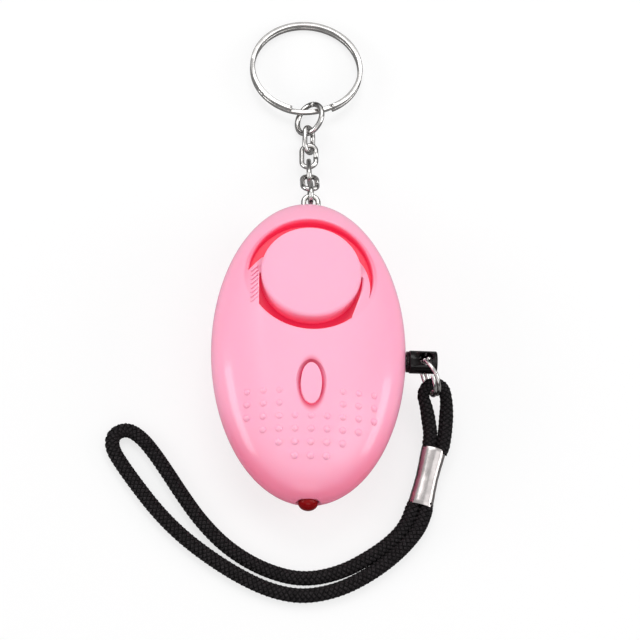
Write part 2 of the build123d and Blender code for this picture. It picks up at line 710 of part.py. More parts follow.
def light_lens():
    """Smoked lens at the casing's tip, hollow for the lamp, with a flange inside."""
    tip = -HALF_LENGTH - LENS_PROUD
    start = tip + LENS_LENGTH
    body = domed_rod(LENS_RADIUS, LENS_DOME, start, tip)
    hollow = domed_rod(LENS_RADIUS - LENS_WALL, LENS_DOME, start + OVERRUN, tip + LENS_DOME)
    flange = lengthways(LENS_RADIUS + LENS_FLANGE, start, start - LENS_FLANGE_THICKNESS)
    return body + flange - hollow


def light_bulb():
    """Lamp with a rim and two leads that rise to the board."""
    tip = BULB_BASE_Y - BULB_LENGTH
    body = domed_rod(BULB_RADIUS, BULB_RADIUS, BULB_BASE_Y, tip)
    body += lengthways(BULB_RADIUS + BULB_RIM, BULB_BASE_Y, BULB_BASE_Y - BULB_RIM_LENGTH)
    for side in (-1, 1):
        x = side * BULB_LEAD_SPACING / 2
        route = (
            (x, BULB_BASE_Y - BULB_LEAD_RADIUS, LAMP_HEIGHT),
            (x, BULB_BASE_Y + BULB_LEAD_REACH, LAMP_HEIGHT),
            (x, BULB_BASE_Y + BULB_LEAD_REACH, BOARD_UNDERSIDE),
        )
        body += swept_tube(route, [BULB_LEAD_BEND], BULB_LEAD_RADIUS)
    return body


# Sweeps


def swept_tube(route, radii, radius):
    """Round tube along straight runs joined by tangent arcs."""
    path = FilletPolyline(*route, radius=radii)
    return sweep((path ^ 0) * Circle(radius), path=path)


def bent_strip(route, bend, width, thickness):
    """Flat strip along a route in the XZ plane, with rounded bends."""
    path = Plane.XZ * FilletPolyline(*route, radius=bend)
    start = Plane(origin=path @ 0, x_dir=(0, 1, 0), z_dir=path % 0)
    return sweep(start * Rectangle(width, thickness), path=path)


def arc_radii(route):
    """Arc radius at each corner: the share of the shorter run over the half turn's tangent."""
    radii = []
    for before, corner, after in zip(route, route[1:], route[2:]):
        first = Vector(corner) - Vector(before)
        second = Vector(after) - Vector(corner)
        half_turn = math.radians(first.get_angle(second)) / 2
        shorter = min(first.length, second.length)
        radii.append(CORD_ARC_SHARE * shorter / math.tan(half_turn))
    return radii


# Board and what it carries


def circuit_board():
    """Board with clipped lower corners and a tab for the pin's leaves."""
    main = Rectangle(2 * BOARD_HALF_WIDTH, BOARD_HIGH_Y - BOARD_LOW_Y)
    main = Pos(0, (BOARD_HIGH_Y + BOARD_LOW_Y) / 2) * main
    main = chamfer(main.vertices().sort_by(Axis.Y)[:2], BOARD_CORNER)
    tab_width = TAB_REACH + BOARD_CORNER
    tab_x = BOARD_HALF_WIDTH + TAB_REACH - tab_width / 2
    tab = Pos(tab_x, (TAB_LOW_Y + TAB_HIGH_Y) / 2) * Rectangle(tab_width, TAB_HIGH_Y - TAB_LOW_Y)
    outline = main + tab
    outline -= [Pos(x, y) * Circle(STAKE_RADIUS + RUNNING_GAP) for x, y in STANDOFFS]
    return Pos(0, 0, BOARD_UNDERSIDE) * extrude(outline, BOARD_THICKNESS)


def on_board(size, place):
    """Box-shaped part that stands on the board."""
    on_foot = (Align.CENTER, Align.CENTER, Align.MIN)
    return Pos(place[0], place[1], BOARD_TOP) * Box(*size, align=on_foot)


def capacitor():
    """Round can with a rounded top."""
    can = column(CAPACITOR_RADIUS, BOARD_TOP, BOARD_TOP + CAPACITOR_HEIGHT, *CAPACITOR_PLACE)
    return fillet(can.edges().sort_by(Axis.Z)[-1], CAPACITOR_EDGE)


def resistors():
    """Row of small resistors."""
    places = [(RESISTOR_X, RESISTOR_FIRST_Y - step * RESISTOR_PITCH) for step in range(RESISTORS)]
    return Compound(children=[on_board(RESISTOR_SIZE, place) for place in places])


def boost_coil():
    """Drum-core coil that hangs from the board beside the cells."""
    low = BOARD_UNDERSIDE - COIL_HEIGHT
    coil = column(COIL_WINDING_RADIUS, low, BOARD_UNDERSIDE, *COIL_PLACE)
    coil += column(COIL_FLANGE_RADIUS, low, low + COIL_FLANGE, *COIL_PLACE)
    return coil + column(COIL_FLANGE_RADIUS, BOARD_UNDERSIDE - COIL_FLANGE, BOARD_UNDERSIDE, *COIL_PLACE)


def button_cells():
    """Stack of coin cells, each a can with a narrower cap below."""
    cells = []
    for place in range(CELL_COUNT):
        low = CONTACT_HEIGHT + CONTACT_THICKNESS + place * CELL_HEIGHT
        split = low + (1 - CELL_CAN_SHARE) * CELL_HEIGHT
        can = column(CELL_RADIUS, split, low + CELL_HEIGHT, 0, CELL_Y)
        can = fillet(can.edges().sort_by(Axis.Z)[-1], CELL_EDGE)
        cells.append(can + column(CELL_CAP_SHARE * CELL_RADIUS, low, split, 0, CELL_Y))
    return Compound(children=cells)


def low_contact():
    """Strip under the cells with a tail up to the board's underside."""
    middle = CONTACT_HEIGHT + CONTACT_THICKNESS / 2
    tail_x = -CELL_RADIUS - CONTACT_TAIL_GAP
    top = BOARD_UNDERSIDE - CONTACT_THICKNESS / 2
    route = ((CELL_RADIUS / 2, middle), (tail_x, middle), (tail_x, top), (tail_x + CONTACT_FOOT, top))
    return Pos(0, CELL_Y, 0) * bent_strip(route, CONTACT_BEND, CONTACT_WIDTH, CONTACT_THICKNESS)


def top_contact():
    """Bowed leaf under the board that presses on the upper cell."""
    cells_top = CONTACT_HEIGHT + CONTACT_THICKNESS + CELL_COUNT * CELL_HEIGHT
    low = cells_top + CONTACT_THICKNESS / 2 + RUNNING_GAP
    high = BOARD_UNDERSIDE - CONTACT_THICKNESS / 2
    dip = TOP_CONTACT_DIP_SHARE * TOP_CONTACT_REACH
    foot = TOP_CONTACT_REACH - TOP_CONTACT_FOOT
    route = ((-TOP_CONTACT_REACH, high), (-foot, high), (-dip, low), (dip, low), (foot, high))
    route += ((TOP_CONTACT_REACH, high),)
    return Pos(0, CELL_Y, 0) * bent_strip(route, CONTACT_BEND, CONTACT_WIDTH, CONTACT_THICKNESS)


def pin_leaf(side):
    """Blade beside the pin's rod, bent over under the board."""
    rod_end_x = PIN_SEAT_X - PIN_ROD_LENGTH
    rod_side = side * (PIN_ROD_RADIUS + RUNNING_GAP)
    x_range = (rod_end_x + LEAF_CLEARANCE, rod_end_x + LEAF_CLEARANCE + LEAF_WIDTH)
    blade_y = sorted((PIN_Y + rod_side, PIN_Y + rod_side + side * LEAF_THICKNESS))
    foot_y = sorted((PIN_Y + rod_side, PIN_Y + rod_side + side * LEAF_FOOT))
    blade = block(x_range, blade_y, (BOARD_UNDERSIDE - LEAF_LENGTH, BOARD_UNDERSIDE))
    return blade + block(x_range, foot_y, (BOARD_UNDERSIDE - LEAF_THICKNESS, BOARD_UNDERSIDE))


def siren_wires():
    """Two leads from the board's underside up through the holder to the siren plate."""
    wires = []
    for side in (-1, 1):
        x = side * WIRE_X
        route = (
            (x, WIRE_START_Y, BOARD_UNDERSIDE),
            (x, WIRE_START_Y, WIRE_HEIGHT),
            (x, WIRE_RISE_Y, WIRE_HEIGHT),
            (x, WIRE_RISE_Y, plate_underside()),
        )
        wires.append(swept_tube(route, [WIRE_BEND, WIRE_BEND], WIRE_RADIUS))
    return Compound(children=wires)


# Siren


def plate_underside():
    """Height of the siren plate's lower face."""
    return WELL_FOOT - GASKET_THICKNESS - PLATE_THICKNESS


def sound_ring():
    """Perforated floor of the outlet, set in the foot of the well."""
    radius = SLOT_HALF_WIDTH - SEAT_GAP
    ring = Pos(0, SIREN_Y, WELL_FOOT) * extrude(Circle(radius), SOUND_RING_THICKNESS)
    circle = SOUND_HOLE_CIRCLE_SHARE * SLOT_HALF_WIDTH
    holes = []
    for place in range(SOUND_HOLES):
        turn = math.radians((place + 0.5) * 360 / SOUND_HOLES)
        x, y = circle * math.cos(turn), SIREN_Y + circle * math.sin(turn)
        holes.append(column(SOUND_HOLE_RADIUS, WELL_FOOT - OVERRUN, WELL_FOOT + OVERRUN, x, y))
    return ring - holes


def siren_gasket():
    """Foam ring between the siren plate and the sound ring."""
    ring = column(PLATE_RADIUS, WELL_FOOT - GASKET_THICKNESS, WELL_FOOT, 0, SIREN_Y)
    return ring - column(PLATE_RADIUS - GASKET_WIDTH, 0, WELL_FOOT + OVERRUN, 0, SIREN_Y)


def siren_plate():
    """Brass plate of the siren."""
    low = plate_underside()
    return column(PLATE_RADIUS, low, low + PLATE_THICKNESS, 0, SIREN_Y)


def siren_ceramic():
    """Ceramic element on the plate's upper face."""
    low = plate_underside() + PLATE_THICKNESS
    return column(CERAMIC_RADIUS, low, low + CERAMIC_THICKNESS, 0, SIREN_Y)


def siren_holder():
    """Shallow cup that clamps the plate against the well."""
    low = WELL_FOOT - HOLDER_HEIGHT
    cup = column(HOLDER_RADIUS, low, WELL_FOOT, 0, SIREN_Y)
    cup -= column(PLATE_RADIUS + SEAT_GAP, plate_underside(), WELL_FOOT + OVERRUN, 0, SIREN_Y)
    cup -= column(PLATE_RADIUS - HOLDER_STEP_WIDTH, low + HOLDER_FLOOR, WELL_FOOT + OVERRUN, 0, SIREN_Y)
    reach = WIRE_RADIUS + WIRE_HOLE_RADIUS
    return cup - [column(reach, low - OVERRUN, WELL_FOOT, side * WIRE_X, WIRE_RISE_Y) for side in (-1, 1)]


# Chain, jump ring and key ring


def chain_link():
    """Oval link of round wire in the XY plane, long along X, with its butt joint."""
    bend = (LINK_WIDTH - LINK_WIRE) / 2
    leg = (LINK_LENGTH - LINK_WIDTH) / 2
    wire = LINK_WIRE / 2
    end = Rot(0, 0, -90) * revolve(Plane.XZ * Pos(bend, 0) * Circle(wire), Axis.Z, 180)
    side = Rot(0, 90, 0) * Cylinder(wire, 2 * leg)
    link = Pos(leg, 0, 0) * end + Rot(0, 0, 180) * Pos(leg, 0, 0) * end
    link += [Pos(0, bend, 0) * side, Pos(0, -bend, 0) * side]
    return link - Pos(-leg / 2, -bend, 0) * Box(LINK_JOINT_GAP, 2 * LINK_WIRE, 2 * LINK_WIRE)


def chain_places():
    """Centre, direction and normal of the anchor link and the five links after it."""
    half = (LINK_LENGTH - LINK_WIRE) / 2
    centre = Vector(CHAIN_X, anchor_centre_y(), PARTING_HEIGHT)
    along = Vector(0, 1, 0)
    places = [(centre, along, Vector(0, 0, 1))]
    upright_before = False
    for place, (fall, roll) in enumerate(zip(LINK_FALLS, LINK_ROLLS)):
        turn, lean = math.radians(fall), math.radians(roll)
        next_along = Vector(0, math.cos(turn), math.sin(turn))
        up = Vector(0, -math.sin(turn), math.cos(turn))
        slack = LAST_LINK_SLACK if place == len(LINK_FALLS) - 1 else LINK_SLACK
        upright = not upright_before
        step_along = next_along if upright else along
        near = centre + along * half - step_along * (LINK_WIRE + slack)
        centre = near + next_along * half
        along = next_along
        upright_before = upright
        places.append((centre, along, up * math.cos(lean) + Vector(1, 0, 0) * math.sin(lean)))
    return places


def link_end(place):
    """Centre of the wire at a link's far end."""
    centre, along, _ = place
    return centre + along * ((LINK_LENGTH - LINK_WIRE) / 2)


def placed_link(place):
    """One link at its place in the chain."""
    centre, along, normal = place
    return Plane(origin=centre, x_dir=along, z_dir=normal) * chain_link()


def jump_centre():
    """Centre of the jump ring, which hangs in the last link's far end."""
    end = link_end(chain_places()[-1])
    reach = JUMP_RADIUS - (LINK_WIRE + JUMP_WIRE) / 2 - JUMP_SLACK
    return end + Vector(JUMP_SIDE, reach, JUMP_LIFT)


def jump_ring():
    """Open ring of round wire, rolled over to pass round the key ring's band."""
    ring = revolve(Plane.XZ * Pos(JUMP_RADIUS, 0) * Circle(JUMP_WIRE / 2), Axis.Z, 360 - JUMP_OPENING)
    return Pos(*jump_centre()) * Rot(0, -JUMP_ROLL, 0) * Rot(0, 0, JUMP_OPENING_TURN) * ring


def split_ring(section, radius, step, step_angle):
    """Ring of two turns that lie on each other and change over in one sloping stretch."""
    flat_angle = 360 - step_angle
    rise = math.degrees(math.atan(step / 2 / (radius * math.sin(math.radians(step_angle / 2)))))
    turn = revolve(Plane.XZ * Pos(radius, 0) * section, Axis.Z, flat_angle)
    turn = Rot(0, 0, step_angle / 2) * turn
    slope = revolve(Plane.XZ * Pos(radius, 0) * section, Axis.Z, step_angle)
    slope = Rot(rise, 0, 0) * Rot(0, 0, -step_angle / 2) * slope
    return Pos(0, 0, -step / 2) * turn + Pos(0, 0, step / 2) * turn + slope


def key_ring_place():
    """Centre and tilt of the key ring, whose far side rests on the table."""
    band = (KEY_RING_DIAMETER - KEY_RING_WIDTH) / 2
    half_height = (2 * KEY_RING_TURN + KEY_RING_GAP) / 2
    held = jump_centre() + Vector(0, KEY_BAND_SHARE * JUMP_RADIUS, 0)
    drop = held.Z - half_height - KEY_FLOOR_GAP
    tilt = math.asin(drop / (band + KEY_RING_DIAMETER / 2))
    centre = Vector(KEY_RING_X, held.Y + band * math.cos(tilt), held.Z - band * math.sin(tilt))
    return centre, math.degrees(tilt)


def key_ring():
    """Flat-wire split ring, leaning on the jump ring."""
    section = RectangleRounded(KEY_RING_WIDTH, KEY_RING_TURN, KEY_RING_EDGE)
    band = (KEY_RING_DIAMETER - KEY_RING_WIDTH) / 2
    ring = split_ring(section, band, KEY_RING_TURN + KEY_RING_GAP, KEY_RING_STEP)
    centre, tilt = key_ring_place()
    return Pos(*centre) * Rot(-tilt, 0, 0) * Rot(0, 0, KEY_RING_STEP_TURN) * ring


def anchor_post():
    """Steel pin across the niche, held in a blind hole of each cover."""
    reach = NICHE_HALF_HEIGHT + POST_SEAT_DEPTH - SEAT_GAP
    return column(POST_RADIUS, PARTING_HEIGHT - reach, PARTING_HEIGHT + reach, CHAIN_X, post_y())


# Pull pin and wrist cord


def pin_hole_x():
    """Place of the cross hole in the pull pin's head."""
    return PIN_SEAT_X + PIN_COLLAR_LENGTH + PIN_HEAD_LENGTH - PIN_HOLE_FROM_END


def pull_pin():
    """Moulded pin: a rod into the casing, a collar and a head with a cross hole."""
    head_start = PIN_SEAT_X + PIN_COLLAR_LENGTH
    rod = crossbar(PIN_ROD_RADIUS, PIN_SEAT_X - PIN_ROD_LENGTH, PIN_SEAT_X)
    rod = chamfer(rod.edges().sort_by(Axis.X)[0], PIN_ROD_TAPER)
    collar = crossbar(PIN_COLLAR_RADIUS, PIN_SEAT_X, head_start)
    head = crossbar(PIN_HEAD_RADIUS, head_start, head_start + PIN_HEAD_LENGTH)
    ends = head.edges().filter_by(GeomType.CIRCLE)
    head = fillet(ends, PIN_EDGE)
    low, high = PIN_HEIGHT - PIN_HEAD_RADIUS, PIN_HEIGHT + PIN_HEAD_RADIUS
    hole = column(PIN_HOLE_RADIUS, low - OVERRUN, high + OVERRUN, pin_hole_x(), PIN_Y)
    return rod + collar + head - hole


def pin_ring():
    """Small split ring of round wire through the pin's hole, standing on edge."""
    section = Circle(PIN_RING_WIRE / 2)
    ring = split_ring(section, PIN_RING_RADIUS, PIN_RING_WIRE + PIN_RING_GAP, PIN_RING_STEP)
    turn = math.radians(PIN_RING_TURN)
    out = Vector(math.sin(turn), -math.cos(turn), 0)
    hole = Vector(pin_hole_x(), PIN_Y, PIN_HEIGHT - PIN_RING_HANG)
    upright = Plane(origin=hole + out * PIN_RING_REACH, x_dir=out, z_dir=out.cross(Vector(0, 0, 1)))
    return upright * Rot(0, 0, PIN_RING_STEP_TURN) * ring


def ferrule():
    """Crimped oval tube over both strands, pinched in at its middle."""
    high, low = Vector(*FERRULE_HIGH), Vector(*FERRULE_LOW)
    along = low - high
    across = along.cross(Vector(0, 0, 1))
    sections = []
    for share, size in ((0, 1), (1 / 2, FERRULE_WAIST_SHARE), (1, 1)):
        plane = Plane(origin=high + along * share, x_dir=across, z_dir=along)
        sections.append(plane * Ellipse(FERRULE_HALF_WIDTH * size, FERRULE_HALF_THICKNESS * size))
    return loft(sections)


def cord(route):
    """One stretch of the wrist cord along its route."""
    return swept_tube(route, arc_radii(route), CORD_DIAMETER / 2)


def assembly():
    """Every piece by its node name."""
    places = chain_places()
    pieces = {
        "front_cover": front_cover(),
        "back_cover": back_cover(),
        "case_screws": case_screws(),
        "light_button": light_button(),
        "light_switch": light_switch(),
        "switch_plunger": switch_plunger(),
        "light_lens": light_lens(),
        "light_bulb": light_bulb(),
        "circuit_board": circuit_board(),
        "alarm_chip": on_board(CHIP_SIZE, CHIP_PLACE),
        "transistor": on_board(TRANSISTOR_SIZE, TRANSISTOR_PLACE),
        "capacitor": capacitor(),
        "resistors": resistors(),
        "boost_coil": boost_coil(),
        "button_cells": button_cells(),
        "low_contact": low_contact(),
        "top_contact": top_contact(),
        "fixed_leaf": pin_leaf(-1),
        "moving_leaf": pin_leaf(1),
        "siren_wires": siren_wires(),
        "sound_ring": sound_ring(),
        "siren_gasket": siren_gasket(),
        "siren_plate": siren_plate(),
        "siren_ceramic": siren_ceramic(),
        "siren_holder": siren_holder(),
        "anchor_post": anchor_post(),
        "anchor_link": placed_link(places[0]),
        "jump_ring": jump_ring(),
        "key_ring": key_ring(),
        "pull_pin": pull_pin(),
        "pin_ring": pin_ring(),
        "ferrule": ferrule(),
        "cord_eye": cord(EYE_ROUTE),
        "wrist_loop": cord(LOOP_ROUTE),
    }
    for number, place in enumerate(places[1:], start=1):
        pieces[f"chain_link_{number}"] = placed_link(place)
    return pieces


def report_cords(pieces):
    """Print each cord's arc radii, its length and how its volume compares."""
    for name, route in (("cord_eye", EYE_ROUTE), ("wrist_loop", LOOP_ROUTE)):
        radii = arc_radii(route)
        length = FilletPolyline(*route, radius=radii).length
        expected = math.pi * CORD_DIAMETER**2 / 4 * length
        print(name, "arc radii", [round(radius, 1) for radius in radii])
        print(name, "length", round(length, 1), "volume share", round(pieces[name].volume / expected, 4))


def main():
    """Build every piece and write one STEP file for each."""
    os.makedirs("parts", exist_ok=True)
    pieces = assembly()
    for name, shape in pieces.items():
        export_step(shape, f"parts/{name}.step")
    report_cords(pieces)


if __name__ == "__main__":
    main()
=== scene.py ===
"""Pocket siren in the shape of an egg, with its chain, pull pin and wrist cord, in a studio."""

import json
import logging
import math
from dataclasses import dataclass, field
from enum import Enum
from typing import Any, ClassVar, Optional, Sequence

import bpy
from mathutils import Matrix, Vector


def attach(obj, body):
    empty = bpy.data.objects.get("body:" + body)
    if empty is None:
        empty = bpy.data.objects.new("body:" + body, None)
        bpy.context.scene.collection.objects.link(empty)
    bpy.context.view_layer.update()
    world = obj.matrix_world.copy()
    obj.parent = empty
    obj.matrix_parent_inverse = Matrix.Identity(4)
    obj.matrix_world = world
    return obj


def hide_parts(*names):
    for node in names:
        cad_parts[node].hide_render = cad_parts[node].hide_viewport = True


LOG = logging.getLogger("alarm")
MM = 0.001
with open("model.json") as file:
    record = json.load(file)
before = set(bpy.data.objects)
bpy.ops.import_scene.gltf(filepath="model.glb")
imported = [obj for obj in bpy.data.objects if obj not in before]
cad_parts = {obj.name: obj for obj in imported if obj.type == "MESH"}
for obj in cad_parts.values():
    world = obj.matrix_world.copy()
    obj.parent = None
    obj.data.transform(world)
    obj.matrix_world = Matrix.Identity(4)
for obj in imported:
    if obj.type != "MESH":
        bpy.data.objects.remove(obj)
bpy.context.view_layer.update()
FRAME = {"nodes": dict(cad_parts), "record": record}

Point = tuple[float, float, float]
Color = tuple[float, float, float]
Span = tuple[float, float]
Rings = list[list[Vector]]
Charts = list[list[Span]]
Store = tuple[list[Vector], list[tuple[int, ...]], Charts]

DARK: Color = (0.0, 0.0, 0.0)
# Numbers of a Mix node's colour sockets.
MIX_LOW, MIX_HIGH, MIX_RESULT = 6, 7, 2
# Points of a skin that lie closer than this are one, in metres.
MERGE_DISTANCE = 0.0000008
BEVEL_SEGMENTS = 3
# Edges of a bent wire stay sharp from this angle on, in degrees.
WIRE_ANGLE = 50.0


# Shader maths


class Wire:
    """A socket of a material that takes part in arithmetic."""

    def __init__(self, shader: "Shader", socket: bpy.types.NodeSocket) -> None:
        """Wrap one output socket.

        Args:
            shader: The shader that owns the socket.
            socket: The output socket.
        """
        self.shader = shader
        self.socket = socket

    def _math(self, operation: str, first: Any, second: Any = 0.0) -> "Wire":
        """Add one Math node.

        Args:
            operation: Name of the node's operation.
            first: Value or wire for the first input.
            second: Value or wire for the second input.

        Returns:
            The node's result.
        """
        node = self.shader.node("ShaderNodeMath", {"operation": operation}, {0: first, 1: second})
        return Wire(self.shader, node.outputs[0])

    def __add__(self, other: Any) -> "Wire":
        """Sum of this and another value."""
        return self._math("ADD", self, other)

    def __sub__(self, other: Any) -> "Wire":
        """This less another value."""
        return self._math("SUBTRACT", self, other)

    def __rsub__(self, other: Any) -> "Wire":
        """Another value less this."""
        return self._math("SUBTRACT", other, self)

    def __mul__(self, other: Any) -> "Wire":
        """Product of this and another value."""
        return self._math("MULTIPLY", self, other)

    def __truediv__(self, other: Any) -> "Wire":
        """This over another value."""
        return self._math("DIVIDE", self, other)

    def __pow__(self, other: Any) -> "Wire":
        """This to a power."""
        return self._math("POWER", self, other)

    def sine(self) -> "Wire":
        """Sine of this."""
        return self._math("SINE", self)

    def size(self) -> "Wire":
        """This without its sign."""
        return self._math("ABSOLUTE", self)

    def ramp(self, low: float, high: float) -> "Wire":
        """Smooth share from 0 at low to 1 at high.

        Args:
            low: Value at which the share is 0.
            high: Value at which the share is 1.

        Returns:
            The share.
        """
        settings = {"interpolation_type": "SMOOTHSTEP"}
        node = self.shader.node("ShaderNodeMapRange", settings, {0: self, 1: low, 2: high})
        return Wire(self.shader, node.outputs[0])


@dataclass(frozen=True)
class Place:
    """A point of the surface, whole and in its three parts, in millimetres."""

    vector: Wire
    x: Wire
    y: Wire
    z: Wire


class Shader:
    """One node material with a Principled surface."""

    def __init__(self, name: str) -> None:
        """Start an empty material.

        Args:
            name: The material's name.
        """
        self.material = self.block(name)
        self.material.use_nodes = True
        self.tree = self.material.node_tree
        self.tree.nodes.clear()

    def block(self, name: str) -> bpy.types.ID:
        """New data block that holds the nodes."""
        return bpy.data.materials.new(name)

    def node(self, kind: str, settings: dict[str, Any], values: dict[Any, Any]) -> bpy.types.Node:
        """Add a node, set it up and feed its sockets.

        Args:
            kind: The node's type.
            settings: Its properties, set before its sockets.
            values: Values or wires by socket name or number.

        Returns:
            The node.
        """
        node = self.tree.nodes.new(kind)
        for key, value in settings.items():
            setattr(node, key, value)
        for key, value in values.items():
            self.feed(node.inputs[key], value)
        return node

    def feed(self, socket: bpy.types.NodeSocket, value: Any) -> None:
        """Link or set one input socket.

        Args:
            socket: The input.
            value: A wire, a number or a colour.
        """
        if isinstance(value, Wire):
            self.tree.links.new(value.socket, socket)
        elif isinstance(value, tuple) and len(value) == 3 and socket.type == "RGBA":
            socket.default_value = (*value, 1.0)
        else:
            socket.default_value = value

    def place(self) -> Place:
        """Point of the surface in the object's own frame."""
        node = self.node("ShaderNodeTexCoord", {}, {})
        values = {0: Wire(self, node.outputs["Object"]), "Scale": 1 / MM}
        grown = self.node("ShaderNodeVectorMath", {"operation": "SCALE"}, values)
        vector = Wire(self, grown.outputs[0])
        return Place(vector, *self.split(vector))

    def split(self, vector: Wire) -> tuple[Wire, Wire, Wire]:
        """The three parts of a vector."""
        node = self.node("ShaderNodeSeparateXYZ", {}, {0: vector})
        return tuple(Wire(self, output) for output in node.outputs)

    def rays(self) -> tuple[Wire, Wire]:
        """Whether the camera sees a place itself, and whether a gloss shows it."""
        node = self.node("ShaderNodeLightPath", {}, {})
        return Wire(self, node.outputs["Is Camera Ray"]), Wire(self, node.outputs["Is Glossy Ray"])

    def noise(self, vector: Wire, scale: float, detail: float = 2.0) -> Wire:
        """Noise over a vector.

        Args:
            vector: The point, in millimetres.
            scale: Grains per millimetre.
            detail: Finer octaves.

        Returns:
            Values about one half.
        """
        node = self.node("ShaderNodeTexNoise", {}, {"Vector": vector, "Scale": scale, "Detail": detail})
        return Wire(self, node.outputs[0])

    def mix(self, share: Any, low: Any, high: Any) -> Wire:
        """Mix of two colours.

        Args:
            share: How much of the second colour.
            low: First colour.
            high: Second colour.

        Returns:
            The mixed colour.
        """
        node = self.node("ShaderNodeMix", {"data_type": "RGBA"}, {0: share})
        self.feed(node.inputs[MIX_LOW], low)
        self.feed(node.inputs[MIX_HIGH], high)
        return Wire(self, node.outputs[MIX_RESULT])

    def bump(self, height: Wire, depth: float, strength: float = 1.0) -> Wire:
        """Surface relief from a height.

        Args:
            height: Height from 0 to 1.
            depth: Its depth in millimetres.
            strength: Share of the relief that is used.

        Returns:
            The bent normal.
        """
        values = {"Strength": strength, "Distance": depth * MM, "Height": height}
        return Wire(self, self.node("ShaderNodeBump", {}, values).outputs[0])

    def surface(self, values: dict[str, Any]) -> bpy.types.Material:
        """Close the material with a Principled surface.

        Args:
            values: Values or wires by socket name.

        Returns:
            The material.
        """
        surface = self.node("ShaderNodeBsdfPrincipled", {}, values)
        self.node("ShaderNodeOutputMaterial", {}, {"Surface": Wire(self, surface.outputs[0])})
        return self.material


class RoomShader(Shader):
    """The nodes that light the room."""

    def block(self, name: str) -> bpy.types.ID:
        """New world, set as the scene's own."""
        world = bpy.data.worlds.new(name)
        bpy.context.scene.world = world
        return world


def shade(red: int, green: int, blue: int) -> Color:
    """Linear colour of an 8-bit screen colour."""
    parts = [value / 255 for value in (red, green, blue)]
    return tuple(part / 12.92 if part <= 0.04045 else ((part + 0.055) / 1.055) ** 2.4 for part in parts)


# Finishes


@dataclass(frozen=True)
class Coating:
    """A finish, as one material that varies over the surface."""

    name: str
    color: Color

    def values(self, shader: Shader, place: Place) -> dict[str, Any]:
        """Values of the material's surface.

        Args:
            shader: The shader to build in.
            place: Point of the surface.

        Returns:
            Values or wires, by socket name.
        """
        raise NotImplementedError

    def material(self) -> bpy.types.Material:
        """Build the material."""
        shader = Shader(self.name)
        return shader.surface(self.values(shader, shader.place()))


@dataclass(frozen=True)
class Plastic(Coating):
    """Moulded plastic with a faint flow in its colour and a fine skin."""

    deep: Color
    roughness: float = 0.3
    coat: float = 0.3
    gloss: float = 0.5
    scatter: float = 0.0
    skin_depth: float = 0.006
    skin_grain: float = 3.0
    skin_detail: float = 4.0
    unevenness: float = 0.08
    coat_roughness: float = 0.12
    scatter_length: float = 0.002
    drift_grain: float = 0.06
    drift_span: Span = (0.3, 0.75)
    drift_share: float = 0.16

    def tint(self, shader: Shader, place: Place) -> Wire:
        """Colour with a slow drift towards the deeper shade."""
        drift = shader.noise(place.vector, self.drift_grain).ramp(*self.drift_span)
        return shader.mix(drift * self.drift_share, self.color, self.deep)

    def dulling(self, place: Place) -> Any:
        """Roughness that is added by place: none in an even plastic."""
        return 0.0

    def values(self, shader: Shader, place: Place) -> dict[str, Any]:
        """Values of the plastic's surface."""
        grain = shader.noise(place.vector, self.skin_grain, self.skin_detail)
        even = self.roughness - self.unevenness / 2
        return {
            "Base Color": self.tint(shader, place),
            "Roughness": grain * self.unevenness + self.dulling(place) + even,
            "Normal": shader.bump(grain, self.skin_depth),
            "Coat Weight": self.coat,
            "Coat Roughness": self.coat_roughness,
            "Specular IOR Level": self.gloss,
            "Subsurface Weight": self.scatter,
            "Subsurface Scale": self.scatter_length,
        }


